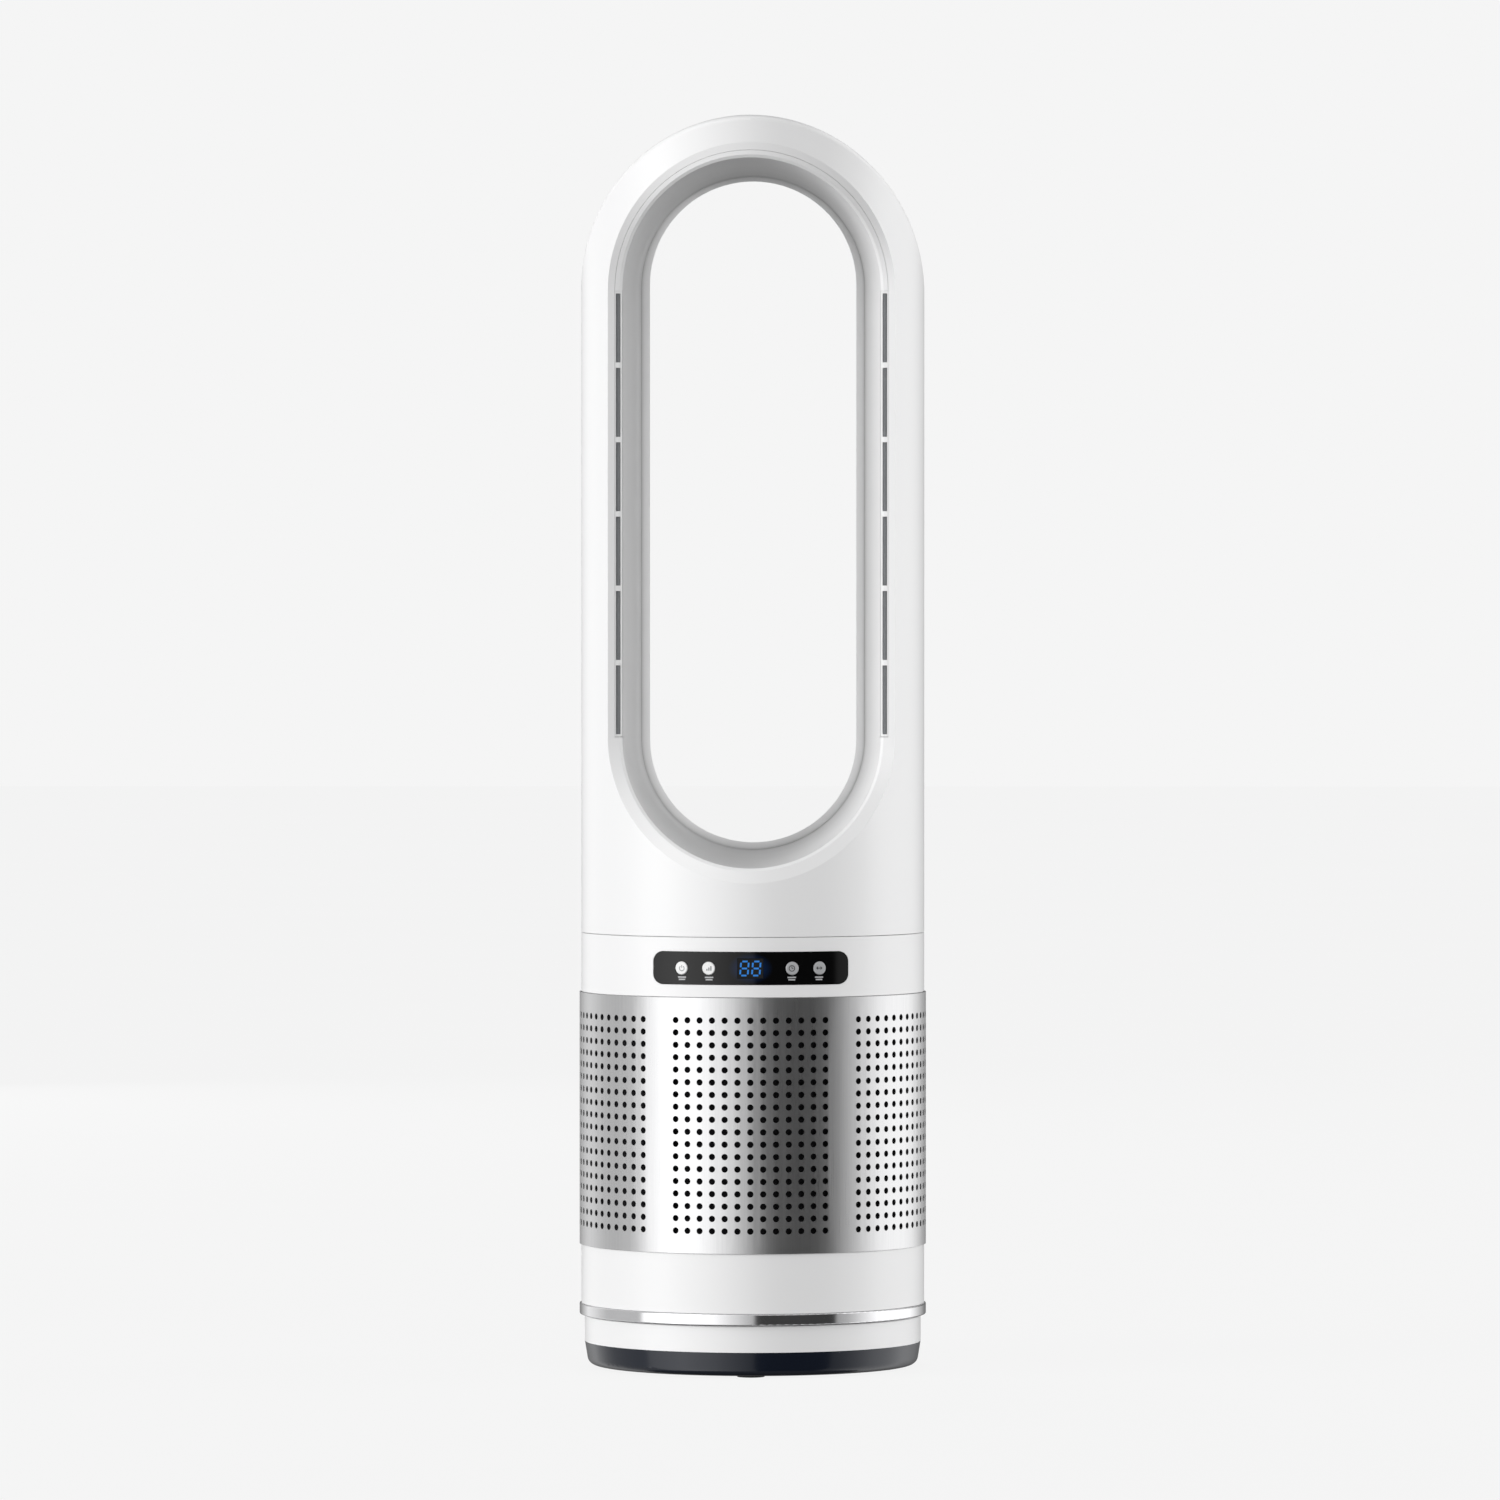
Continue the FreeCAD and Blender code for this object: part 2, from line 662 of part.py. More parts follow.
def grille_frame():
    outer = s.column_radius.value + s.trim_step.value - s.sheet.value - 0.25
    inner = inside.value - 1.0
    low, high = lower_high.value, grille_high.value
    hoops = [
        spun([(inner, low), (outer, low), (outer, low + 6), (inner, low + 6)]),
        spun([(inner, high - 6), (outer, high - 6), (outer, high), (inner, high)]),
    ]
    bars = []
    for turn in frame_bars():
        bar = block(V(-2.5, -outer - 2, low + 3), V(2.5, -inner, high - 3))
        bar.rotate(V(0, 0, 0), UP, turn)
        bars.append(bar.common(spun([(inner, low), (outer, low), (outer, high), (inner, high)])))
    shape_piece("grille_frame", joined(hoops + bars))


def inlet_filter():
    body = new_body("inlet_filter")
    outer = inside - 1.3
    turned(body, [
        (outer - 3.0, lower_high + 2.4), (outer, lower_high + 2.4),
        (outer, grille_high - 2.0), (outer - 3.0, grille_high - 2.0),
    ])


def inlet_floor():
    body = new_body("inlet_floor")
    raised(body, lambda k: ring(k, 0, 0, inside - 0.2), lower_high - 2.2, lower_high)
    sunk(body, lambda k: ring(k, -(s.column_radius * 0.576), s.column_radius * 0.636, 3.4),
         lower_high + 1.0, lower_high - 3.0)


def stepper_motor():
    """A geared stepper, its case beside its output spindle."""
    reach = gear_reach()
    low = floor_high.value
    case = disc(14.0, 19.0, V(reach + 8.0, 0, low))
    case = case.makeFillet(0.8, [edge for edge in case.Edges if edge.BoundBox.ZMin > low + 18])
    ears = block(V(reach + 4.5, -21, low), V(reach + 11.5, 21, low + 1.0))
    cap = block(V(reach + 18, -7.5, low + 1.5), V(reach + 25, 7.5, low + 18))
    bore = disc(2.5 + s.running_gap.value, 9.6, V(reach, 0, low - 0.5))
    shape_piece("stepper_motor", solid_of(case.multiFuse([ears, cap]).cut(bore)))


def lead(label, points, radius):
    """A round lead that follows a few straight runs with eased corners."""
    runs = []
    for start, end in zip(points, points[1:]):
        way = end - start
        runs.append(disc(radius, way.Length, start, way))
    for corner in points[1:-1]:
        runs.append(Part.makeSphere(radius, corner))
    shape_piece(label, joined(runs))


def leads():
    """Leads inside: across the tray, up through the pivot, and up the back of the column."""
    radius = s.lead_radius.value
    inner = s.tray_radius.value - 9.0
    tray = tray_low.value + s.tray_floor.value + radius + 0.6
    lead("base_lead", [V(0, inner, gland_height.value), V(0, inner - 12, tray),
                       V(0, 0, tray), V(0, 0, tray + 4.6)], radius)
    board = floor_high.value + 10.2
    lead("column_lead", [V(0, 0, tray + 5.2), V(0, 0, board + 6), V(-20, 20, board + 6),
                         V(-20, 20, board + 2.2)], radius - 0.4)
    across, back = LOOM_ACROSS * s.column_radius.value, LOOM_BACK * s.column_radius.value
    lead("wiring_loom", [V(-36, 30, board + 0.1), V(-36, 30, board + 18.5), V(across, back, board + 18.5),
                         V(across, back, grille_high.value + 12)], 2.0)


def power_board():
    body = new_body("power_board")
    board = floor_high + 10.2
    raised(body, lambda k: rectangle(k, -52.0, 8.0, -8.0, 62.0), board - 1.6, board)
    posts = [(-48.0, 12.0), (-12.0, 12.0), (-48.0, 58.0), (-12.0, 58.0)]
    for across, along in posts:
        raised(body, lambda k: ring(k, across, along, 2.4), floor_high, board - 1.2)


def power_parts():
    """Transformer, reservoir capacitor, relay, terminal block and heat sink."""
    board = floor_high.value + 10.2
    parts = [
        block(V(-48, 40, board), V(-30, 56, board + 14)),
        disc(5.0, 15.0, V(-44, 20, board)),
        disc(4.0, 12.0, V(-32, 14, board)),
        block(V(-27, 42, board), V(-16, 56, board + 11)),
        block(V(-14, 28, board), V(-10, 54, board + 12)),
        block(V(-50, 27, board), V(-41, 36, board + 8)),
    ]
    group("power_parts", parts)


def panel_prism(shrink):
    """The panel's rounded outline carried straight back from the front."""
    half = s.column_radius.value * math.sin(math.radians(s.panel_turn.value)) - shrink
    tall = s.panel_height.value / 2 - shrink
    corner = max(s.panel_corner.value - shrink, 1.0)
    prism = block(V(-half, -s.column_radius.value - 5, -tall), V(half, -40, tall))
    uprights = [edge for edge in prism.Edges if abs(edge.BoundBox.YMax - edge.BoundBox.YMin) > 10]
    prism = prism.makeFillet(corner, uprights)
    prism.translate(V(0, 0, panel_middle.value))
    return prism


def hollow(outer, inner, low, high):
    """A plain upright tube."""
    return disc(outer, high - low, V(0, 0, low)).cut(disc(inner, high - low + 2, V(0, 0, low - 1)))


def panel_arc(outer, inner, shrink):
    """A curved plate with the panel's outline."""
    low, high = grille_high.value, collar_high.value
    return hollow(outer, inner, low, high).common(panel_prism(shrink))


def control_collar():
    radius, low, high = s.column_radius.value, grille_high.value + 0.05, collar_high.value
    bore, flange, wall = inside.value, inside.value - s.flange_width.value, s.wall.value
    tube = spun([(radius, low + 0.4), (radius, high - 0.4), (radius - 0.4, high), (flange, high),
                 (flange, high - wall), (bore, high - wall), (bore, low + wall), (flange, low + wall),
                 (flange, low), (radius - 0.4, low)])
    seat = panel_arc(radius + 1, radius - s.panel_thickness.value - 0.05, -s.hair_gap.value)
    window = panel_arc(radius + 1, bore - 1, 1.6)
    holes = []
    for turn in DIAGONALS:
        spot = on_circle(bore - s.flange_screws.value, turn, high - 5)
        holes.append(disc(s.screw_radius.value + s.screw_gap.value, 10, spot))
    shape_piece("control_collar", solid_of(tube.cut(seat).cut(window).cut(Part.makeCompound(holes))))


BUTTONS = [
    ("button_power", -1, "outer"), ("button_speed", -1, "inner"),
    ("button_timer", 1, "inner"), ("button_swing", 1, "outer"),
]


def button_angle(side, pair):
    turn = s.button_inner_turn if pair == "inner" else s.button_outer_turn
    return side * turn.value


def display_block(grow):
    """The space of the display, straight back from the panel."""
    side_margin, end_margin, deep = 1.3, 0.5, 9.6
    half = s.digit_width.value + side_margin + grow
    tall = s.digit_height.value / 2 + end_margin + grow
    middle, front = panel_middle.value, s.column_radius.value
    return block(V(-half, -front - 2, middle - tall), V(half, -front + deep, middle + tall))


def control_lens():
    radius = s.column_radius.value
    plate = panel_arc(radius + 0.15, radius - s.panel_thickness.value, 0)
    holes = [display_block(0.15)]
    for _, side, pair in BUTTONS:
        turn = button_angle(side, pair)
        start = on_circle(radius - 8, turn, panel_middle.value)
        holes.append(disc(s.button_radius.value + 0.3, 12, start, on_circle(1, turn)))
    shape_piece("control_lens", solid_of(plate.cut(Part.makeCompound(holes))))


def buttons():
    """Each button: a domed cap, a flange behind the lens and a stem in its guide."""
    radius = s.column_radius.value
    cap, stem, end = s.button_radius.value, s.stem_radius.value, radius - s.stem_reach.value
    flange, flange_back, flange_front = cap + s.button_flange.value, radius - 4.1, radius - 2.9
    profile = [(0, end), (stem, end), (stem, flange_back), (flange, flange_back),
               (flange, flange_front), (cap, flange_front), (cap, radius + 0.2),
               (cap - 0.35, radius + 0.5), (0, radius + 0.6)]
    one = spun(profile)
    for label, side, pair in BUTTONS:
        way = on_circle(1, button_angle(side, pair))
        shape_piece(label, placed(one, V(0, 0, panel_middle.value), way))


def button_guide():
    radius = s.column_radius.value
    front = radius - s.guide_depth.value
    plate = panel_arc(front, front - s.guide_thickness.value, 2.0)
    holes = [display_block(0.4)]
    for _, side, pair in BUTTONS:
        turn = button_angle(side, pair)
        start = on_circle(radius - 12, turn, panel_middle.value)
        holes.append(disc(s.stem_radius.value + s.running_gap.value, 12, start, on_circle(1, turn)))
    shape_piece("button_guide", solid_of(plate.cut(Part.makeCompound(holes))))


def control_board():
    radius = s.column_radius.value
    board = radius - s.board_depth.value
    shape_piece("control_board", solid_of(panel_arc(board, board - s.board_thickness.value, 2.0)))
    nub_top = radius - s.stem_reach.value - s.button_travel.value - 0.05
    switch = block(V(-3, -3, board + 0.05), V(3, 3, nub_top - 0.2))
    one = switch.fuse(disc(1.2, 0.3, V(0, 0, nub_top - 0.3)))
    ways = [on_circle(1, button_angle(side, pair)) for _, side, pair in BUTTONS]
    group("tact_switches", [placed(one, V(0, 0, panel_middle.value), way) for way in ways])


def display():
    """A two digit display that fills its window, with the bars of the digits just proud."""
    front = s.column_radius.value - 0.15
    case = display_block(0).common(block(V(-30, -front, 0), V(30, 0, collar_high.value)))
    shape_piece("display_module", case)
    wide, tall = s.digit_width.value * 0.72, s.digit_height.value * 0.78
    bar, gap = s.bar_width.value, s.bar_gap.value
    bars = []
    for centre in (-s.digit_width.value * 0.56, s.digit_width.value * 0.56):
        for level in (-1, 0, 1):
            low = level * tall / 2 - bar / 2
            reach = wide / 2 - bar / 2 - gap
            bars.append((centre - reach, low, centre + reach, low + bar))
        for side in (-1, 1):
            for level in (-1, 1):
                across = centre + side * wide / 2 - bar / 2
                low = level * tall / 4 - tall / 4 + bar / 2 + gap
                high = low + tall / 2 - bar - 2 * gap
                bars.append((across, low, across + bar, high))
    shapes = []
    for left, low, right, high in bars:
        one = block(V(left, -front - 0.1, low), V(right, -front, high))
        matrix = FreeCAD.Matrix()
        matrix.A13 = s.bar_lean.value
        one = one.transformGeometry(matrix)
        one.translate(V(0, 0, panel_middle.value))
        shapes.append(one)
    group("display_digits", shapes)


def bulkhead():
    """The plate over the blower; the shroud hangs under it on a soft ring."""
    low = grille_high.value + 0.05 + s.wall.value
    plate = hollow(inside.value - 0.4, blower_outlet + 0.4, low, low + 2.5)
    hole = s.screw_radius.value + s.screw_gap.value
    radius = s.column_radius.value
    holes = [disc(3.4, 20, V(LOOM_ACROSS * radius, LOOM_BACK * radius, low - 5))]
    for turn in DIAGONALS:
        holes.append(disc(hole, 20, on_circle(blower_outlet + 8, turn, low - 5)))
    shape_piece("bulkhead", plate.cut(Part.makeCompound(holes)))


blower_outlet = s.shroud_radius.value + 8.0
blower_top = grille_high.value + 0.05 + s.wall.value
blower_low = lower_high.value + 28.5


def shroud_profile():
    """Inner wall of the blower shroud from the bell mouth up to the outlet."""
    throat = s.shroud_radius.value
    return [(throat + 18, blower_low), (throat + 8, blower_low + 4), (throat + 2.5, blower_low + 10),
            (throat, blower_low + 18), (throat, blower_low + 28), (throat + 3, blower_low + 45),
            (throat + 8, blower_low + 65)]


def blower_shroud():
    inner = shroud_profile() + [(blower_outlet, blower_top - 0.2)]
    outer = [(radius + 2.0, height) for radius, height in reversed(inner)]
    tube = spun(inner + outer)
    flange = hollow(blower_outlet + 12, blower_outlet + 1, blower_top - 4.2, blower_top - 2.2)
    holes = []
    for turn in DIAGONALS:
        spot = on_circle(blower_outlet + 8, turn, blower_top - 10)
        holes.append(disc(s.screw_radius.value + s.screw_gap.value, 20, spot))
    shape_piece("blower_shroud", solid_of(tube.fuse(flange).cut(Part.makeCompound(holes))))
    soft = hollow(blower_outlet + 11.5, blower_outlet + 2.2, blower_top - 2.15, blower_top - 0.05)
    shape_piece("damper_ring", soft.cut(Part.makeCompound(holes)))
    one = screw(8.2, 2.6)
    spots = [on_circle(blower_outlet + 8, turn, blower_top + 2.5 - 8.2) for turn in DIAGONALS]
    group("blower_screws", [placed(one, spot) for spot in spots])


def motor_bucket():
    """The streamlined bucket that holds the motor, with the diffuser vanes round it."""
    radius, low = s.bucket_radius.value, blower_low + 50.0
    high, tip = low + 46.0, blower_top - 4.0
    shell = spun([(4.2, low), (radius, low), (radius, high), (10, tip), (0, tip), (0, tip - 2.2),
                  (9, tip - 2.2), (radius - 2.2, high - 1), (radius - 2.2, low + 2.2), (4.2, low + 2.2)])
    seat = hollow(radius - 1.0, 31.2, low + 10, low + 34)
    vanes = []
    envelope = spun([(radius - 1.0, low + 17), (blower_outlet - 0.15, low + 17),
                     (blower_outlet - 0.15, low + 45), (radius - 1.0, low + 45)])
    for index in range(int(s.vane_count.value)):
        vane = block(V(-0.9, -blower_outlet - 2, -20), V(0.9, -radius + 1.5, 20))
        vane.rotate(V(0, 0, 0), V(0, 1, 0), 14)
        vane.translate(V(0, 0, low + 31))
        vane.rotate(V(0, 0, 0), UP, index * 360 / s.vane_count.value)
        vanes.append(vane.common(envelope))
    shape_piece("motor_bucket", joined([shell, seat] + vanes))


def motor():
    """An enclosed motor: case, laminations, windings, two bearings, rotor and shaft."""
    low = blower_low + 54.0
    shaft, run = s.shaft_radius.value, s.running_gap.value
    race_outer, case_outer, case_wall, tall = shaft + 3.5, 31.0, 1.2, 36.0
    case_inner = case_outer - case_wall + 0.1
    high, seat = low + tall, 5.5
    case = spun([(race_outer, low), (case_outer, low), (case_outer, high), (race_outer, high),
                 (race_outer, high - case_wall), (case_inner, high - case_wall),
                 (case_inner, low + case_wall), (race_outer, low + case_wall)])
    lower_seat = hollow(race_outer + 1.5, race_outer, low, low + seat)
    upper_seat = hollow(race_outer + 1.5, race_outer, high - seat, high)
    shape_piece("motor_case", joined([case, lower_seat, upper_seat]))
    core = hollow(29.8, 21.5, low + 9, low + 27)
    slots = []
    coils = []
    coil_count, coil_circle, coil = 12, 24.6, 2.25
    for index in range(coil_count):
        turn = index * 360 / coil_count
        slots.append(disc(coil + 0.15, 30, on_circle(coil_circle, turn, low + 5)))
        coils.append(disc(coil, 23, on_circle(coil_circle, turn, low + 6.5)))
    shape_piece("motor_stator", core.cut(Part.makeCompound(slots)))
    group("stator_windings", coils)
    race = hollow(shaft + 3.45, shaft + run, low + 0.2, low + 5.2)
    upper = race.copy()
    upper.translate(V(0, 0, 30.6))
    group("motor_bearings", [race, upper])
    shape_piece("motor_rotor", hollow(21.0, shaft + 0.02, low + 9, low + 27))
    shape_piece("motor_shaft", disc(shaft, low + 37 - (blower_low + 16), V(0, 0, blower_low + 16)))


def impeller():
    """A mixed flow impeller: a cone of a hub and swept blades that follow the shroud."""
    low, bore = blower_low + 20.0, s.shaft_radius.value + 0.02
    top = low + 28.0
    radius = s.bucket_radius.value
    hub = spun([(bore, low - 1), (bore + 5, low), (bore + 11, low + 5), (radius - 8, low + 15),
                (radius, top), (radius - 3, top), (radius - 11, low + 17), (bore + 7, low + 10),
                (bore + 4, top), (bore, top)])
    throat, gap = s.shroud_radius.value, s.impeller_gap.value
    envelope = spun([(bore + 4, low + 0.5), (throat - gap, low + 0.5), (throat - gap, low + 8),
                     (throat + 3 - gap - 0.8, top - 3), (radius - 2, top - 1), (radius - 9, low + 16),
                     (bore + 9, low + 6)])
    count = int(s.blade_count.value)
    steps, root, sweep, thick = 6, 10.0, 46.0, 1.5
    blades = []
    for index in range(count):
        bend = []
        for step in range(steps + 1):
            share = step / steps
            reach = root + (throat + 6.0 - root) * share
            bend.append(on_circle(reach, sweep * share ** 1.2 + index * 360 / count, low - 2))
        curve = Part.BSplineCurve()
        curve.interpolate(bend)
        sheet_face = curve.toShape().extrude(V(0, 0, 34))
        blade = sheet_face.makeOffsetShape(thick, 0.01, fill=True)
        blades.append(blade.common(envelope))
    shape_piece("impeller", joined([hub] + blades))
    cone = spun([(0, low - 9), (3, low - 8.4), (bore + 5, low - 1.1), (bore, low - 1.1), (0, low - 4.2)])
    shape_piece("impeller_nut", cone.cut(disc(bore, 3.2, V(0, 0, low - 4.2))))


def duct_tube():
    """The duct from the blower up to the foot of the head."""
    body = new_body("duct_tube")
    low = grille_high + 0.05 + s.wall + 2.6
    turned(body, [(blower_outlet + 2.0, low), (blower_outlet + 4.0, low),
                  (blower_outlet + 4.0, head_low + 1.0), (blower_outlet + 2.0, head_low + 1.0)])


def head_floor():
    low = head_low.value
    thick = s.wall.value
    plate = hollow(inside.value - 0.3, blower_outlet + 4.2, low, low + thick)
    holes = []
    shapes = []
    one = screw(6.0, 2.6)
    for turn in DIAGONALS:
        reach = inside.value - s.flange_screws.value
        holes.append(disc(s.screw_radius.value + s.screw_gap.value, 20, on_circle(reach, turn, low - 5)))
        shapes.append(placed(one, on_circle(reach, turn, low + thick - 6.0)))
    shape_piece("head_floor", plate.cut(Part.makeCompound(holes)))
    group("head_floor_screws", shapes)


def arch_solid(radius, low, rounding):
    """An upright cylinder cut to an arch seen from the front, its top edges eased."""
    centre = arch_centre.value
    top = centre + radius
    column = disc(radius, top + 1 - low, V(0, 0, low))
    prism = block(V(-radius, -2 * radius, low), V(radius, 2 * radius, centre))
    prism = prism.fuse(disc(radius, 4 * radius, V(0, -2 * radius, centre), V(0, 1, 0))).removeSplitter()
    arch = column.common(prism).removeSplitter()
    if rounding <= 0:
        return arch
    quarter = arch.common(block(V(0, -2 * radius, 0), V(2 * radius, 0, 2 * top)))
    rims = [edge for edge in quarter.Edges
            if edge.BoundBox.ZMax > top - radius * 0.1 and edge.BoundBox.YLength > radius * 0.5
            and edge.BoundBox.XLength > radius * 0.5]
    quarter = quarter.makeFillet(rounding, rims)
    half = quarter.fuse(quarter.mirror(V(), V(1, 0, 0)))
    return half.fuse(half.mirror(V(), V(0, 1, 0))).removeSplitter()


def guided_arc(half, centre, depth, first):
    """A half turn of points from an angle, carried to its depth at each place."""
    points = []
    steps = 16
    for step in range(steps + 1):
        angle = math.radians(first + 180 * step / steps)
        across = half * math.cos(angle)
        points.append(V(across, depth(across), centre + half * math.sin(angle)))
    curve = Part.BSplineCurve()
    curve.interpolate(Points=points, Parameters=[step / steps for step in range(steps + 1)])
    return curve.toShape()


def stadium(half, low, high, depth):
    """An upright stadium: two straight sides and two arcs, at a depth that may vary across."""
    right = Part.makeLine(V(half, depth(half), low), V(half, depth(half), high))
    left = Part.makeLine(V(-half, depth(half), high), V(-half, depth(half), low))
    top = guided_arc(half, high, depth, 0)
    foot = guided_arc(half, low, depth, 180)
    return Part.Wire([right, top, left, foot])


def flat_at(y):
    return lambda across: y


def round_at(radius, side, spread=1.0):
    """The depth of a round wall, read at a place spread wider or narrower than the point itself."""
    return lambda across: side * math.sqrt(radius * radius - (across * spread) ** 2)


def behind(depth, amount):
    return lambda across: depth(across) + amount


def stadium_prism(half, low, high, front, back):
    """A straight stadium block between two depths."""
    wire = stadium(half, low, high, flat_at(front))
    return Part.Face(wire).extrude(V(0, back - front, 0))


def opening_plug(grow):
    """What is taken out of the head: the mouth, the narrowing wall and the flare behind it."""
    radius = s.column_radius.value
    mouth = opening.value
    run, fall, lip = s.mouth_width.value, s.mouth_depth.value, s.mouth_lip.value
    slope = math.hypot(run, fall)
    along, across = run / slope, fall / slope
    over = 3.0
    edge, rim, wall = mouth + over * along, mouth - run + lip, mouth - run
    low, high = opening_low.value, arch_centre.value + 1.0
    waist, throat = mouth - s.waist_inset.value, mouth - s.throat_inset.value
    rise, drop = s.throat_rise.value, s.throat_drop.value
    depth, seam = s.throat_depth.value, s.shell_seam.value
    flare = throat + s.rear_flare.value
    stations = [
        (edge + 4 * grow, low, high, flat_at(-radius - 14)),
        (edge + across * grow, low, high,
         behind(round_at(radius, -1, mouth / edge), along * grow - over * across)),
        (rim + 0.5 * grow, low, high, behind(round_at(radius, -1, mouth / rim), fall + 0.95 * grow)),
        (wall + 0.95 * grow, low, high,
         behind(round_at(radius, -1, mouth / wall), fall + lip + 0.5 * grow)),
        (waist + grow, low - drop * 0.6, high + rise * 0.6, flat_at(seam)),
        (throat + grow, low - drop, high + rise, flat_at(depth)),
        (flare + 0.8 * grow + 3.0, low - drop, high + rise, round_at(radius + 8.0, 1)),
        (flare + 3.5 + 4 * grow, low - drop, high + rise, flat_at(radius + 22)),
    ]
    wires = [stadium(*station) for station in stations]
    return Part.makeLoft(wires, True, True)


def head():
    """The ring of the head as one hollow wall, then parted into its pieces."""
    wall, seam = s.wall.value, s.shell_seam.value
    low = head_low.value
    outer = arch_solid(s.column_radius.value, low, s.head_rounding.value)
    cavity = arch_solid(inside.value, low - 5, 0).cut(opening_plug(wall))
    hollow_ring = outer.cut(cavity).cut(opening_plug(0))
    gap = s.hair_gap.value
    line = opening.value - s.lip_line.value
    base, top = opening_low.value, arch_centre.value + 1.0
    radius = s.column_radius.value
    setback = radius - s.liner_setback.value

    def liner_zone(grow):
        upper = stadium_prism(line + grow, base, top, -radius - 5, seam)
        upper = upper.common(block(V(-radius, -radius - 6, base + 0.2 - grow), V(radius, seam, top + radius)))
        lower = disc(setback + grow, top, V(0, 0, 100)).common(
            stadium_prism(line + 2.0 + grow, base, top, -radius - 5, seam))
        lower = lower.common(block(V(-radius, -radius - 6, 0), V(radius, seam, base + 0.3)))
        return upper.fuse(lower)

    def strip_zone(side, grow):
        near, far = line - 4.1, line
        left, right = (near, far) if side > 0 else (-far, -near)
        return block(V(left - grow, -radius, base + 0.5 - grow), V(right + grow, -42, top - 0.5 + grow))

    front_side = block(V(-radius - 5, -radius - 5, 0), V(radius + 5, seam, top + 2 * radius))
    rear_side = block(V(-radius - 5, seam + s.seam_gap.value, 0), V(radius + 5, radius + 5, top + 2 * radius))
    slots = []
    count = int(s.slot_count.value)
    zone = count * s.slot_length.value + (count - 1) * s.slot_rib.value
    for side in (-1, 1):
        centre = side * (opening.value - s.slot_inset.value - s.slot_width.value / 2)
        for index in range(count):
            start = (base + top) / 2 - zone / 2 + index * (s.slot_length.value + s.slot_rib.value)
            slots.append(block(V(centre - s.slot_width.value / 2, -radius, start),
                               V(centre + s.slot_width.value / 2, -40, start + s.slot_length.value)))
    slots = Part.makeCompound(slots)
    bosses, wells = head_bosses()
    front = hollow_ring.common(front_side).cut(liner_zone(gap))
    front = front.cut(strip_zone(-1, gap)).cut(strip_zone(1, gap))
    liner = hollow_ring.common(liner_zone(0)).cut(strip_zone(-1, gap)).cut(strip_zone(1, gap))
    rear = hollow_ring.common(rear_side)
    inner_arch = arch_solid(inside.value + 0.5, low, 0)
    front_posts = bosses.common(front_side).common(inner_arch)
    rear_posts = bosses.common(rear_side).common(inner_arch)
    front = solid_of(front.fuse(front_posts)).cut(wells[0])
    rear = solid_of(rear.fuse(rear_posts)).cut(wells[1])
    shape_piece("head_front_shell", solid_of(front))
    shape_piece("head_rear_shell", solid_of(rear))
    shape_piece("nozzle_liner", solid_of(liner))
    for side, label in ((-1, "left_outlet_strip"), (1, "right_outlet_strip")):
        shape_piece(label, solid_of(hollow_ring.common(strip_zone(side, 0)).cut(slots)))
    group("head_screws", [placed(screw(HEAD_SCREW_LENGTH), spot, V(0, 1, 0)) for spot in head_screw_spots()])


HEAD_SCREW_LENGTH = 26.0


def head_screw_spots():
    """Tips of the four screws that pull the head shells together from behind."""
    high = arch_centre.value
    reach = s.column_radius.value
    tip = s.shell_seam.value - 14.0
    return [V(-0.46 * reach, tip, head_low.value + 15), V(0.46 * reach, tip, head_low.value + 15),
            V(-0.626 * reach, tip, high + 0.62 * reach), V(0.626 * reach, tip, high + 0.62 * reach)]


def head_bosses():
    """Posts in the head for its screws, and the holes and wells to take out of them."""
    posts, pilots, wells = [], [], []
    reach = s.column_radius.value
    seam = s.shell_seam.value
    hole, back = s.screw_radius.value + s.screw_gap.value, V(0, 1, 0)
    for spot in head_screw_spots():
        head_face = spot.y + HEAD_SCREW_LENGTH
        posts.append(disc(s.boss_radius.value, 2 * reach, V(spot.x, -reach, spot.z), back))
        pilots.append(disc(hole, seam - spot.y + 8, V(spot.x, spot.y - 2, spot.z), back))
        wells.append(disc(hole, 30, V(spot.x, seam - 2, spot.z), back))
        wells.append(disc(s.screw_head.value + 0.3, reach, V(spot.x, head_face, spot.z), back))
    return Part.makeCompound(posts), (Part.makeCompound(pilots), Part.makeCompound(wells))


def build():
    for make in (base_tray, cord_gland, rubber_feet, base_cover, base_screws, swivel_gear, drive_pinion,
                 bearing, column_floor, retaining_ring, retaining_screws, chrome_ring, lower_shell,
                 lower_shell_screws, perforated_grille, grille_frame, inlet_filter, inlet_floor,
                 stepper_motor, leads, power_board, power_parts, control_collar, control_lens, buttons,
                 button_guide, control_board, display, bulkhead, blower_shroud, motor_bucket, motor,
                 impeller, duct_tube, head_floor, head):
        make()
    doc.recompute()


def write_out():
    for thing in doc.Objects:
        if "Invalid" in thing.State or "Error" in thing.State:
            raise RuntimeError(f"{thing.Label} is {thing.State}")
    os.makedirs("parts", exist_ok=True)
    for thing in PIECES:
        shape = thing.Shape
        if not shape.isValid():
            raise RuntimeError(f"{thing.Label} is not a valid shape")
        shape.exportStep(os.path.join("parts", f"{thing.Label}.step"))
        print(f"{thing.Label}: {len(shape.Solids)} solid(s), {shape.Volume / 1000:.2f} cm3")


build()
write_out()
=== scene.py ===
# %% [markdown]
# # A tower fan with an open ring head
# The fan comes in as a finished mechanical model: every shell, screw and gear is already in its place.
# This lesson gives it its looks. It takes the model as a fixed frame, writes a material for each real
# finish, adds the marks and vanes that are too fine for the mechanical model, and ends with a small photo
# studio.

# %% Load the frame
import bmesh
import bpy
import json
import math
from mathutils import Matrix, Vector


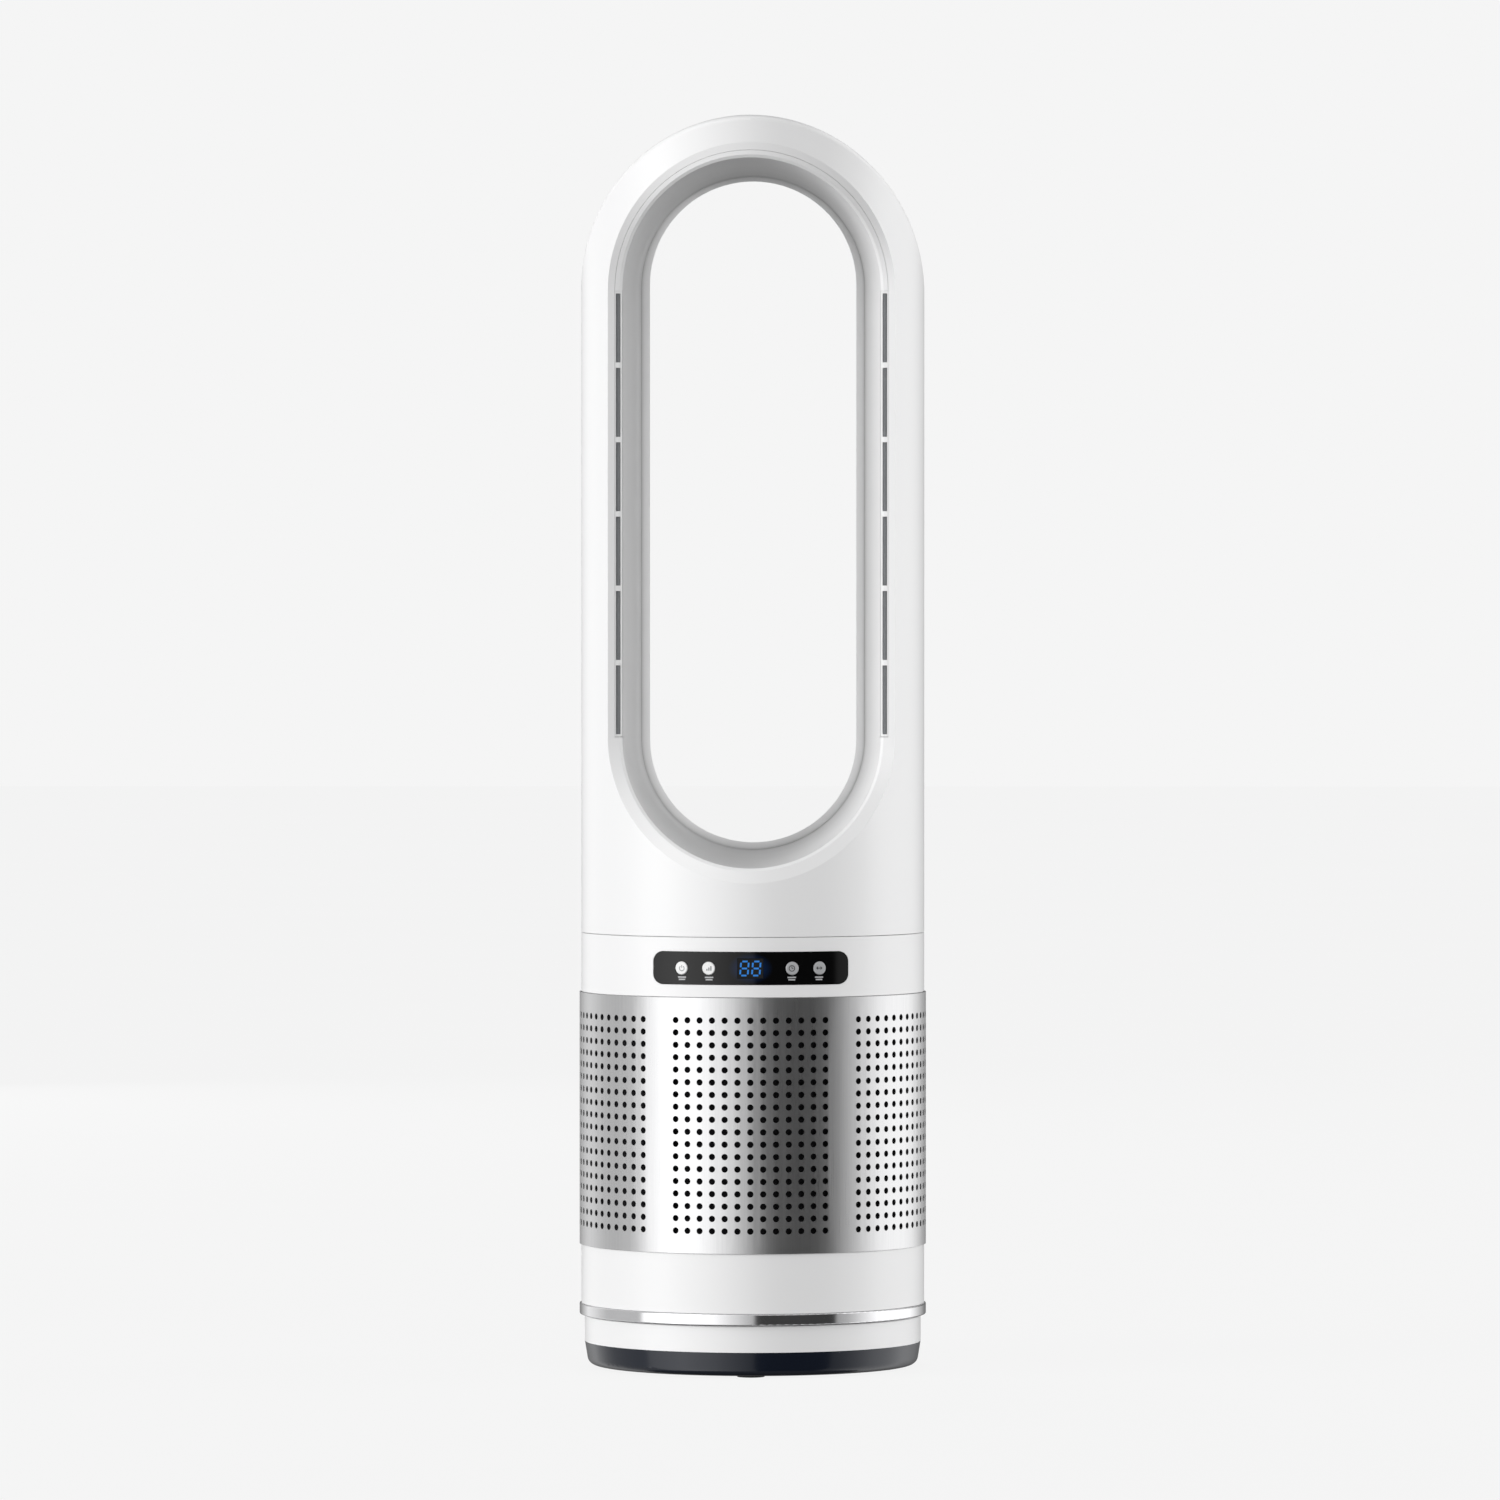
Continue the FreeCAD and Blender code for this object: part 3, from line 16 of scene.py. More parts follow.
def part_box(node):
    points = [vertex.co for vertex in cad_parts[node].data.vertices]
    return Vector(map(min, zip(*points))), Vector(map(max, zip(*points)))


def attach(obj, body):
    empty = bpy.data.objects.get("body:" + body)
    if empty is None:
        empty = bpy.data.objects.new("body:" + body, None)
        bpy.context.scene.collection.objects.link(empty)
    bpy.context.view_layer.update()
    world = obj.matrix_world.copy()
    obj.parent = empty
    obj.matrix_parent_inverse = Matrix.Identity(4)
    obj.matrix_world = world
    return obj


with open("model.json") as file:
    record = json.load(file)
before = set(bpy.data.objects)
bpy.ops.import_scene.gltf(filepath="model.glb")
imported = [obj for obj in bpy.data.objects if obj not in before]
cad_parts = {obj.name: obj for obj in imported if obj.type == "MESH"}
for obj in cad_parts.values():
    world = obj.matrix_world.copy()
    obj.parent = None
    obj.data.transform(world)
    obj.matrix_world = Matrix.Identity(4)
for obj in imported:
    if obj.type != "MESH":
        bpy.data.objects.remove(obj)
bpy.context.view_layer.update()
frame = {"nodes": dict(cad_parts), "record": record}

NODES = frame["nodes"]
MM = 0.001

# %% [markdown]
# ## Shader maths as Python
# A node material is a small formula. Writing it with + and * is easier to read than a chain of links, so
# one small class wraps a socket and turns each operator into a Math node. Colours go through Mix nodes
# instead, because a Math node would turn them grey.

# %% Sockets that add up
class Wire:
    """One output socket in a material, with the arithmetic that this lesson uses."""

    def __init__(self, look, socket):
        self.look = look
        self.socket = socket

    def math(self, operation, *others):
        values = {0: self}
        values.update({index: other for index, other in enumerate(others, start=1)})
        return self.look.node("ShaderNodeMath", {"operation": operation}, values)

    def __add__(self, other):
        return self.math("ADD", other)

    __radd__ = __add__

    def __sub__(self, other):
        return self.math("SUBTRACT", other)

    def __rsub__(self, other):
        return self.look.node("ShaderNodeMath", {"operation": "SUBTRACT"}, {0: other, 1: self})

    def __mul__(self, other):
        return self.math("MULTIPLY", other)

    __rmul__ = __mul__

    def above(self, level):
        return self.math("GREATER_THAN", level)

    def power(self, exponent):
        return self.math("POWER", exponent)

    def angle_from(self, other):
        return self.math("ARCTAN2", other)

    def clamped(self):
        return self.look.node("ShaderNodeClamp", {}, {"Value": self})


class Look:
    """A material under construction: one Principled shader and whatever feeds it."""

    def __init__(self, name, **constants):
        self.material = bpy.data.materials.new(name)
        self.material.use_nodes = True
        self.tree = self.material.node_tree
        self.shader = self.tree.nodes["Principled BSDF"]
        for socket, value in constants.items():
            self.shader.inputs[socket.replace("_", " ")].default_value = value
        self.place = None

    def node(self, kind, settings, values, output=0):
        """Adds one node: its settings first, then a number or a link for each named socket."""
        made = self.tree.nodes.new(kind)
        for name, value in settings.items():
            if name == "stops":
                while len(made.color_ramp.elements) < len(value):
                    made.color_ramp.elements.new(1.0)
                for stop, (position, shade) in zip(made.color_ramp.elements, value):
                    stop.position = position
                    stop.color = (shade, shade, shade, 1)
            else:
                setattr(made, name, value)
        for socket, value in values.items():
            if isinstance(value, Wire):
                self.tree.links.new(value.socket, made.inputs[socket])
            else:
                made.inputs[socket].default_value = value
        return Wire(self, made.outputs[output])

    def point(self):
        """The place on the object, in metres."""
        if self.place is None:
            self.place = self.node("ShaderNodeTexCoord", {}, {}, "Object")
        return self.place

    def axes(self):
        split = self.node("ShaderNodeSeparateXYZ", {}, {"Vector": self.point()}, 0)
        outputs = split.socket.node.outputs
        return Wire(self, outputs[0]), Wire(self, outputs[1]), Wire(self, outputs[2])

    def stretched(self, across, deep, high):
        """The place with its axes scaled, so that a pattern runs finer one way than another."""
        return self.node("ShaderNodeMapping", {}, {"Vector": self.point(), "Scale": (across, deep, high)})

    def noise(self, scale, detail=3.0, roughness=0.55, vector=None):
        vector = vector or self.point()
        values = {"Vector": vector, "Scale": scale, "Detail": detail, "Roughness": roughness}
        return self.node("ShaderNodeTexNoise", {}, values)

    def ramp(self, amount, stops):
        """Grey levels along a value, as pairs of place and level."""
        return self.node("ShaderNodeValToRGB", {"stops": stops}, {0: amount})

    def blend(self, mask, first, second):
        """One colour to another as a mask goes from nothing to all."""
        settings = {"data_type": "RGBA"}
        return self.node("ShaderNodeMix", settings, {0: mask, 6: first, 7: second}, 2)

    def feed(self, socket, wire):
        self.tree.links.new(wire.socket, self.shader.inputs[socket])

    def bump(self, height, distance, strength=1.0):
        values = {"Height": height, "Distance": distance, "Strength": strength}
        self.feed("Normal", self.node("ShaderNodeBump", {}, values))


LOOKS = {}


def finish_for(slots):
    """Marks a function as the recipe for one or more of the record's finishes."""
    def keep(recipe):
        for name in slots:
            LOOKS[name] = recipe(name).material
            print("finish:", name)
        return recipe
    return keep


# %% [markdown]
# ## White shell
# The shells are injection moulded in white plastic with a satin gloss. Up close such a surface is never
# one flat white: the mould leaves a very fine orange peel, and the gloss drifts a little where the
# plastic flowed. Both are far too shallow to model, so they are a faint bump and a drift in roughness.

# %% White shell
WHITE = (0.90, 0.90, 0.90, 1)
WHITE_WARM = (0.875, 0.875, 0.88, 1)


def white_plastic(name, shade=None):
    look = Look(name, IOR=1.46, Coat_Weight=0.25, Coat_Roughness=0.12)
    drift = look.noise(9.0, 4.0)
    paint = look.blend(drift, WHITE, WHITE_WARM)
    # With a shade mask, painted shade darkens the base colour towards a grey.
    if shade:
        paint = look.blend(shade(look), paint, PAINTED_SHADE_GREY)
    look.feed("Base Color", paint)
    look.feed("Roughness", 0.30 + 0.08 * drift)
    peel = look.noise(1400.0, 2.0) + 0.4 * look.noise(260.0, 2.0)
    look.bump(peel, 0.000012)
    return look


finish_for(["white_shell"])(white_plastic)

# %% [markdown]
# Inside the ring the air runs along a wall that narrows towards a crease, where the two shells meet, and
# then turns out again as a rim. The base colour there carries painted shade, standing in for the shadow
# that gathers in the crease. It is faint by the slots, grows along the wall, is strongest in the crease and
# stops at the rim. The painted shade lies only near the opening, so a mask measures the distance from the
# opening's own middle line, and a ramp follows the depth.

# %% Painted shade in the ring's crease
# The grey that the painted crease shade darkens towards.
PAINTED_SHADE_GREY = (0.30, 0.30, 0.30, 1)
RING_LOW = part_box("left_outlet_strip")[0][2]
RING_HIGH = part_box("left_outlet_strip")[1][2]
WALL_REACH = 78 * MM
PAINTED_SHADE_FROM = -60 * MM
PAINTED_SHADE_TO = 20 * MM
# Place along the depth and strength of the painted shade.
PAINTED_SHADE_STOPS = [
    (0.0, 0.0), (0.10, 0.01), (0.45, 0.12), (0.75, 0.34), (0.875, 0.66), (0.90, 0.24), (0.94, 0.0),
]


# Painted shade: a mask on the ring's inner wall that is strongest at the crease.
def crease_painted_shade(look):
    x, y, z = look.axes()
    beyond = (z - RING_HIGH).math("MAXIMUM", RING_LOW - z).math("MAXIMUM", 0.0)
    reach = (x * x + beyond * beyond).power(0.5)
    near = (reach * -1.0 + WALL_REACH).above(0.0)
    depth = (y - PAINTED_SHADE_FROM) * (1 / (PAINTED_SHADE_TO - PAINTED_SHADE_FROM))
    return look.ramp(depth, PAINTED_SHADE_STOPS) * near


# The white with painted shade in the crease, for the two shells that line the ring.
SHELL_WITH_PAINTED_SHADE = white_plastic("white_shell_painted_shade", crease_painted_shade).material


# %% [markdown]
# ## Black gloss
# The tray under the fan and the lens of the panel are polished black plastic. Dust and wiping marks show
# in the gloss before they show in the colour, so the roughness carries them.

# %% Black gloss
@finish_for(["black_tray"])
def tray_black(name):
    look = Look(name, IOR=1.42, Coat_Weight=0.25, Coat_Roughness=0.05)
    drift = look.noise(14.0, 5.0)
    look.feed("Base Color", look.blend(drift, (0.004, 0.007, 0.016, 1), (0.008, 0.012, 0.022, 1)))
    look.feed("Roughness", 0.12 + 0.10 * drift)
    look.bump(look.noise(900.0), 0.00001)
    return look


@finish_for(["display_dark"])
def dark_window(name):
    look = Look(name, IOR=1.36, Coat_Weight=0.1, Coat_Roughness=0.03)
    wipes = look.noise(30.0, 4.0, vector=look.stretched(1.0, 1.0, 5.0))
    look.feed("Base Color", look.blend(wipes, (0.001, 0.001, 0.001, 1), (0.002, 0.002, 0.003, 1)))
    look.feed("Roughness", 0.06 + 0.07 * wipes)
    return look


# %% [markdown]
# The lens is one moulding in front of the lit digits. Light creeps sideways in the plastic, so the digits
# stand in a faint blue haze. The haze is an emission that fades with the distance from the middle of the
# display, and a second mask keeps it on the front of the fan.

# %% Panel lens
DISPLAY_MIDDLE = [(low + high) / 2 for low, high in zip(*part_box("display_digits"))]
HAZE_ACROSS = 13 * MM
HAZE_HIGH = 9 * MM
HAZE_EDGE = 10 * MM


@finish_for(["black_lens"])
def lens_black(name):
    look = Look(name, IOR=1.36, Coat_Weight=0.15, Coat_Roughness=0.03, Emission_Strength=1.0)
    wipes = look.noise(30.0, 4.0, vector=look.stretched(1.0, 1.0, 5.0))
    x, y, z = look.axes()
    across = (x - DISPLAY_MIDDLE[0]) * (1 / HAZE_ACROSS)
    high = (z - DISPLAY_MIDDLE[2]) * (1 / HAZE_HIGH)
    far = across * across + high * high
    in_front = (0.5 - y * (1 / HAZE_EDGE)).clamped()
    haze = (1.0 - far).clamped() * in_front
    look.feed("Base Color", look.blend(wipes, (0.001, 0.001, 0.001, 1), (0.002, 0.002, 0.002, 1)))
    look.feed("Emission Color", look.blend(haze.power(1.4), (0, 0, 0, 1), (0.0015, 0.014, 0.055, 1)))
    look.feed("Roughness", 0.06 + 0.07 * wipes)
    return look


# %% [markdown]
# ## Metals
# The sleeve is stainless sheet brushed upright before it was rolled, so its scratches run along the
# height and the highlight spreads sideways. The brush marks are noise stretched about a hundredfold along
# the height. The narrow ring is chromed plastic: almost a mirror, with a trace of ripple.

# %% Metals
@finish_for(["brushed_sleeve"])
def brushed_steel(name):
    look = Look(name, Metallic=1.0)
    fine = look.noise(5200.0, 2.0, vector=look.stretched(1.0, 1.0, 0.006))
    broad = look.noise(420.0, 3.0, vector=look.stretched(1.0, 1.0, 0.012))
    cloud = look.noise(18.0, 3.0)
    grain = 0.65 * fine + 0.35 * broad
    look.feed("Base Color", look.blend(grain, (0.56, 0.56, 0.57, 1), (0.76, 0.76, 0.76, 1)))
    look.feed("Roughness", 0.20 + 0.14 * grain + 0.06 * cloud)
    look.bump(grain, 0.000010)
    return look


@finish_for(["bright_metal"])
def chromed(name):
    look = Look(name, Metallic=1.0)
    ripple = look.noise(60.0, 2.0)
    look.feed("Base Color", look.blend(ripple, (0.74, 0.74, 0.75, 1), (0.80, 0.80, 0.81, 1)))
    look.feed("Roughness", 0.07 + 0.05 * ripple)
    look.bump(ripple, 0.00002)
    return look


@finish_for(["screw_steel", "motor_steel"])
def plated_steel(name):
    look = Look(name, Metallic=1.0)
    spots = look.noise(240.0, 4.0)
    look.feed("Base Color", look.blend(spots, (0.46, 0.46, 0.47, 1), (0.62, 0.62, 0.61, 1)))
    look.feed("Roughness", 0.26 + 0.16 * spots)
    look.bump(spots, 0.00002)
    return look


@finish_for(["copper_wire"])
def enamelled_copper(name):
    look = Look(name, Metallic=1.0, Coat_Weight=0.5)
    settings = {"bands_direction": "Z"}
    turns = look.node("ShaderNodeTexWave", settings, {"Vector": look.point(), "Scale": 600.0}, 1)
    look.feed("Base Color", look.blend(turns, (0.42, 0.16, 0.06, 1), (0.72, 0.36, 0.16, 1)))
    look.feed("Roughness", 0.25 + 0.15 * turns)
    look.bump(turns, 0.00008)
    return look


# %% [markdown]
# ## Buttons and display
# Two buttons are bright white and two a shade greyer. The digits are lit from behind, and their light is
# a little uneven from place to place.

# %% Buttons and display
def button_plastic(name, light, dark):
    look = Look(name, IOR=1.48, Coat_Weight=0.3, Coat_Roughness=0.08)
    drift = look.noise(300.0, 2.0)
    look.feed("Base Color", look.blend(drift, light, dark))
    look.feed("Roughness", 0.22 + 0.12 * drift)
    look.bump(look.noise(2500.0), 0.000008)
    return look


@finish_for(["button_white"])
def button_bright(name):
    return button_plastic(name, (0.92, 0.92, 0.91, 1), (0.86, 0.86, 0.86, 1))


@finish_for(["button_grey"])
def button_soft_grey(name):
    return button_plastic(name, (0.50, 0.50, 0.51, 1), (0.40, 0.41, 0.42, 1))


@finish_for(["display_blue"])
def lit_bars(name):
    look = Look(name, Roughness=0.3, Emission_Strength=1.0)
    glow = look.noise(700.0, 2.0)
    look.feed("Base Color", look.blend(glow, (0.004, 0.04, 0.12, 1), (0.006, 0.05, 0.16, 1)))
    look.feed("Emission Color", look.blend(glow, (0.010, 0.125, 0.42, 1), (0.022, 0.20, 0.60, 1)))
    return look


# %% [markdown]
# ## Inner plastics, rubber, foam and boards
# These show through the holes, in the gap under the column and when the fan is taken apart. Each gets its
# own grain at its own scale.

# %% Inner finishes
def grained(name, light, dark, grain, rough, depth, **constants):
    look = Look(name, **constants)
    speckle = look.noise(grain, 4.0)
    look.feed("Base Color", look.blend(speckle, dark, light))
    look.feed("Roughness", rough + 0.12 * speckle)
    look.bump(speckle, depth)
    return look


@finish_for(["inner_plastic"])
def inner_plastic(name):
    return grained(name, (0.030, 0.030, 0.032, 1), (0.018, 0.018, 0.020, 1), 700.0, 0.48, 0.00003)


@finish_for(["grey_plastic", "blower_grey"])
def grey_plastic(name):
    return grained(name, (0.30, 0.31, 0.32, 1), (0.22, 0.23, 0.24, 1), 600.0, 0.42, 0.00003)


@finish_for(["gear_plastic"])
def acetal(name):
    return grained(name, (0.80, 0.78, 0.72, 1), (0.72, 0.70, 0.64, 1), 300.0, 0.34, 0.00002)


@finish_for(["soft_rubber", "lead_black"])
def rubber(name):
    return grained(name, (0.022, 0.022, 0.023, 1), (0.012, 0.012, 0.013, 1), 1200.0, 0.68, 0.00005)


@finish_for(["filter_foam"])
def foam(name):
    look = Look(name, IOR=1.3)
    settings = {"feature": "F1"}
    cells = look.node("ShaderNodeTexVoronoi", settings, {"Vector": look.point(), "Scale": 900.0}, 0)
    look.feed("Base Color", look.blend(cells, (0.004, 0.004, 0.005, 1), (0.030, 0.030, 0.033, 1)))
    look.feed("Roughness", 0.8 + 0.15 * cells)
    look.bump(cells, 0.0004)
    return look


@finish_for(["board_green"])
def solder_mask(name):
    look = Look(name, Coat_Weight=0.4, Coat_Roughness=0.2)
    settings = {"feature": "F1", "distance": "MANHATTAN"}
    tracks = look.node("ShaderNodeTexVoronoi", settings, {"Vector": look.point(), "Scale": 420.0}, 0)
    mask = tracks.above(0.42)
    look.feed("Base Color", look.blend(mask, (0.012, 0.085, 0.035, 1), (0.022, 0.15, 0.06, 1)))
    look.feed("Roughness", 0.38 + 0.1 * mask)
    look.bump(mask, 0.00003)
    return look


# %% [markdown]
# ## Dressing the frame
# The record says which finish each piece takes, so one loop dresses all of them.

# %% Dress the frame
SLOT_OF = {entry["node"]: entry["material_slot"] for entry in frame["record"]["subparts"]}
for label, node in NODES.items():
    node.data.materials.clear()
    node.data.materials.append(LOOKS[SLOT_OF[label]])
# The ring's liner and rear shell take the white with painted shade in the crease.
for label in ("nozzle_liner", "head_rear_shell"):
    NODES[label].data.materials[0] = SHELL_WITH_PAINTED_SHADE
print("dressed", len(NODES), "pieces")

# %% [markdown]
# ## Marks on the buttons
# Each button carries a symbol that anyone can read: a power sign, three rising bars for the speed, a
# clock face for the timer and a double arrow for the swing. On the real object they are printed. Here
# each is a thin pad of its own shape, drawn flat as rings and bars with bmesh and then laid on the
# button's face, so that it rides in with it.

# %% Flat shapes for printed marks
PRINT = 0.04 * MM


def flat_bar(form, start, end, width):
    """A straight bar between two points of the drawing plane, which is XZ and faces -Y."""
    start, end = Vector((start[0], 0, start[1])), Vector((end[0], 0, end[1]))
    along = (end - start).normalized()
    side = Vector((-along.z, 0, along.x)) * width / 2
    corners = [form.verts.new(corner) for corner in (start - side, end - side, end + side, start + side)]
    return form.faces.new(corners)


def flat_ring(form, centre, radius, width, first=0.0, turn=360.0):
    """A ring or an arc of one, from an angle and over a turn in degrees, both clockwise from the top."""
    middle = Vector((centre[0], 0, centre[1]))
    inner = form.verts.new(middle + Vector((0, 0, radius - width / 2)))
    outer = form.verts.new(middle + Vector((0, 0, radius + width / 2)))
    edge = form.edges.new((inner, outer))
    begin = Matrix.Rotation(math.radians(first), 3, "Y")
    bmesh.ops.rotate(form, verts=[inner, outer], cent=middle, matrix=begin)
    steps = max(4, round(turn / 15))
    swept = math.radians(turn)
    geom = [inner, outer, edge]
    whole = turn >= 360
    bmesh.ops.spin(form, geom=geom, cent=middle, axis=(0, 1, 0), angle=swept, steps=steps, use_merge=whole)


def kept(name, form, body, slot):
    """Turns a finished bmesh into a piece of the fan, with its finish and the body that it rides on."""
    mesh = bpy.data.meshes.new(name)
    form.to_mesh(mesh)
    form.free()
    item = bpy.data.objects.new(name, mesh)
    bpy.context.scene.collection.objects.link(item)
    mesh.materials.append(LOOKS[slot])
    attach(item, body)
    print("piece:", name, "on", body, "with", len(mesh.polygons), "faces")
    return item


def printed(name, form, azimuth, height, reach, body, slot):
    """Gives a flat drawing its thickness and lays it on the column's side at an azimuth and a height."""
    bmesh.ops.remove_doubles(form, verts=form.verts, dist=0.002 * MM)
    grown = bmesh.ops.extrude_face_region(form, geom=form.faces[:])
    raised = [item for item in grown["geom"] if isinstance(item, bmesh.types.BMVert)]
    bmesh.ops.translate(form, verts=raised, vec=(0, -PRINT, 0))
    bmesh.ops.recalc_face_normals(form, faces=form.faces)
    turn = Matrix.Rotation(math.radians(azimuth), 4, "Z")
    bmesh.ops.transform(form, verts=form.verts, matrix=turn @ Matrix.Translation((0, -reach, height)))
    return kept(name, form, body, slot)


# %% [markdown]
# The four drawings differ, so each is a short function. The button's place is read from its box: the
# middle of the box gives the azimuth, and the vertex that lies farthest out along it gives the face.

# %% Symbols on the buttons
LINE = 0.42 * MM


def power_sign(form):
    flat_ring(form, (0, -0.15 * MM), 1.45 * MM, LINE, first=38, turn=284)
    flat_bar(form, (0, 0.15 * MM), (0, 1.75 * MM), LINE)


def speed_bars(form):
    for index in range(3):
        across = (index - 1) * 1.15 * MM
        flat_bar(form, (across, -1.3 * MM), (across, (-0.35 + 0.8 * index) * MM), 1.6 * LINE)


def clock_face(form):
    flat_ring(form, (0, 0), 1.6 * MM, LINE)
    flat_bar(form, (0, 0), (0, 1.15 * MM), LINE)
    flat_bar(form, (0, 0), (0.85 * MM, 0), LINE)


def swing_arrows(form):
    flat_bar(form, (-1.5 * MM, 0), (1.5 * MM, 0), LINE)
    for side in (-1, 1):
        for rise in (-1, 1):
            flat_bar(form, (side * 0.75 * MM, rise * 0.8 * MM), (side * 1.65 * MM, 0), LINE)


def face_of(label):
    """Azimuth, height and reach of a button's face."""
    low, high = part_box(label)
    middle = (Vector(low) + Vector(high)) / 2
    way = Vector((middle.x, middle.y, 0)).normalized()
    reach = max(vertex.co.dot(way) for vertex in NODES[label].data.vertices)
    return math.degrees(math.atan2(middle.x, -middle.y)), middle.z, reach


SYMBOLS = {"button_power": power_sign, "button_speed": speed_bars,
           "button_timer": clock_face, "button_swing": swing_arrows}
for label, draw in SYMBOLS.items():
    drawing = bmesh.new()
    draw(drawing)
    azimuth, height, reach = face_of(label)
    ink = "grey_plastic" if azimuth < 0 else "inner_plastic"
    printed(label + "_symbol", drawing, azimuth, height, reach - PRINT / 4, label, ink)
    print(label, "at", round(azimuth, 1), "degrees, face at", round(reach / MM, 2), "mm")

# %% [markdown]
# Under each button the lens has a small plain mark. It stands for a printed caption, and has no letters:
# two short bars, one over the other, are enough to give the panel its scale.

# %% Marks under the buttons
MARK_DROP = 5.8 * MM
MARK_HALF = 2.5 * MM


def caption_bars(form):
    for row, half in enumerate((MARK_HALF, 0.8 * MARK_HALF)):
        height = (0.5 - row) * 1.3 * MM
        flat_bar(form, (-half, height), (half, height), 0.8 * MM)


LENS_REACH = -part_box("control_lens")[0][1]
for label in SYMBOLS:
    drawing = bmesh.new()
    caption_bars(drawing)
    azimuth, height, _ = face_of(label)
    reach = LENS_REACH + PRINT
    printed(label + "_mark", drawing, azimuth, height - MARK_DROP, reach, "column", "button_grey")

# %% [markdown]
# ## Vanes in the outlet slots
# Air leaves the ring through two rows of narrow slots. Looking in, one sees neither a painted line nor a
# black void but a grey vane a few millimetres down that turns the air. Each vane is a thin leaning blade
# with eased edges.

# %% Outlet vanes
SLOT_COUNT = 6
SLOT_LENGTH = 39.4 * MM
SLOT_RIB = 3.1 * MM
VANE_DEPTH = 2.6 * MM
VANE_WIDTH = 2.4 * MM
VANE_THICKNESS = 0.7 * MM
VANE_EDGE = 0.25 * MM
VANE_OVERLAP = 0.4 * MM
VANE_REACH = 76.2 * MM
VANE_LEAN = math.radians(24)


def outlet_vanes(side, strip):
    low, high = (Vector(corner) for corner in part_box(strip))
    form = bmesh.new()
    pitch = SLOT_LENGTH + SLOT_RIB
    lean = Matrix.Rotation(side * VANE_LEAN, 3, "Z")
    for index in range(SLOT_COUNT):
        height = (low.z + high.z) / 2 + (index - (SLOT_COUNT - 1) / 2) * pitch
        blade = bmesh.ops.create_cube(form, size=1.0)["verts"]
        bmesh.ops.scale(form, verts=blade, vec=(VANE_WIDTH, VANE_THICKNESS, SLOT_LENGTH + VANE_OVERLAP))
        bmesh.ops.rotate(form, verts=blade, cent=(0, 0, 0), matrix=lean)
        bmesh.ops.translate(form, verts=blade, vec=(side * VANE_REACH, low.y + VANE_DEPTH, height))
    long_edges = [edge for edge in form.edges if edge.calc_length() > SLOT_LENGTH]
    bmesh.ops.bevel(form, geom=long_edges, offset=VANE_EDGE, affect="EDGES", segments=2, profile=0.5,
                    material=-1)
    return kept(strip + "_vanes", form, "column", "grey_plastic")


outlet_vanes(-1, "left_outlet_strip")
outlet_vanes(1, "right_outlet_strip")

# %% [markdown]
# ## The studio
# White plastic, brushed steel and chrome stand side by side here, and each shows the room in its own way.
# Plastic answers to where the lamps are, metal to what it mirrors. So the two are lit apart: soft lamps
# that metal doesn't see shape the white shells, and a wrap around the set, which only mirror rays see,
# carries the bright panels and the dark flags that give polished metal its stripes.

# %% Camera
AIM = Vector((-0.0016, 0, 0.3561))
CAMERA_REACH = 5.5
CAMERA_HEIGHT = 0.4375
FRAME_WIDTH = 0.866
CAMERA_TURN = math.radians(0.8)
SENSOR_WIDTH = 36
CLIP_END = 60


def studio_camera():
    data = bpy.data.cameras.new("studio_camera")
    data.sensor_width = SENSOR_WIDTH
    data.lens = data.sensor_width * CAMERA_REACH / FRAME_WIDTH
    data.clip_end = CLIP_END
    camera = bpy.data.objects.new("studio_camera", data)
    bpy.context.scene.collection.objects.link(camera)
    bpy.context.scene.camera = camera
    across = math.sin(CAMERA_TURN) * CAMERA_REACH
    back = -math.cos(CAMERA_TURN) * CAMERA_REACH
    camera.location = Vector((across, back, CAMERA_HEIGHT))
    camera.rotation_euler = (AIM - camera.location).to_track_quat("-Z", "Y").to_euler()
    print("camera:", round(data.lens, 1), "mm lens,", CAMERA_REACH, "m away")
    return camera


studio_camera()

# %% Lamps for the shells
def softbox(name, azimuth, height, reach, wide, tall, watts):
    """A rectangular lamp that faces the fan and leaves no mirror image. Azimuth 90 is the right side."""
    data = bpy.data.lights.new(name, "AREA")
    data.shape = "RECTANGLE"
    data.size = wide
    data.size_y = tall
    data.energy = watts
    lamp = bpy.data.objects.new(name, data)
    bpy.context.scene.collection.objects.link(lamp)
    angle = math.radians(azimuth)
    lamp.location = Vector((math.sin(angle) * reach, -math.cos(angle) * reach, height))
    aim = Vector((0, 0, AIM.z)) - lamp.location
    lamp.rotation_euler = aim.to_track_quat("-Z", "Y").to_euler()
    lamp.visible_glossy = False
    print("lamp:", name, "at", azimuth, "degrees,", watts, "watts")
    return lamp


softbox("left_box", azimuth=-68, height=0.55, reach=3.0, wide=1.6, tall=2.0, watts=80)
softbox("right_box", azimuth=97, height=0.6, reach=3.0, wide=1.4, tall=2.0, watts=50)
softbox("front_box", azimuth=34, height=0.5, reach=3.4, wide=1.0, tall=1.4, watts=17)
softbox("back_box", azimuth=205, height=1.1, reach=3.0, wide=1.6, tall=2.0, watts=26)

# %% The mirror wrap
# Azimuth in degrees and brightness. Two stops close together are the clean edge of a panel.
WRAP_STOPS = [
    (-180, 0.14), (-160, 0.34), (-150, 0.62), (-140, 1.0), (-130, 0.90), (-112, 0.60),
    (-79, 0.58), (-76, 1.3), (-50, 1.9), (-27, 1.40), (-14, 0.95), (-2, 0.60), (1, 0.57),
    (3, 0.055), (56, 0.050), (58, 0.42), (66, 0.52), (81, 0.98),
    (93, 1.40), (126, 1.40), (146, 0.62), (160, 0.26), (180, 0.14),
]
WRAP_RADIUS = 3.4
WRAP_STEPS = 96
WRAP_STRENGTH = 2.0
WRAP_LOW = -4.0
WRAP_HIGH = 4.5


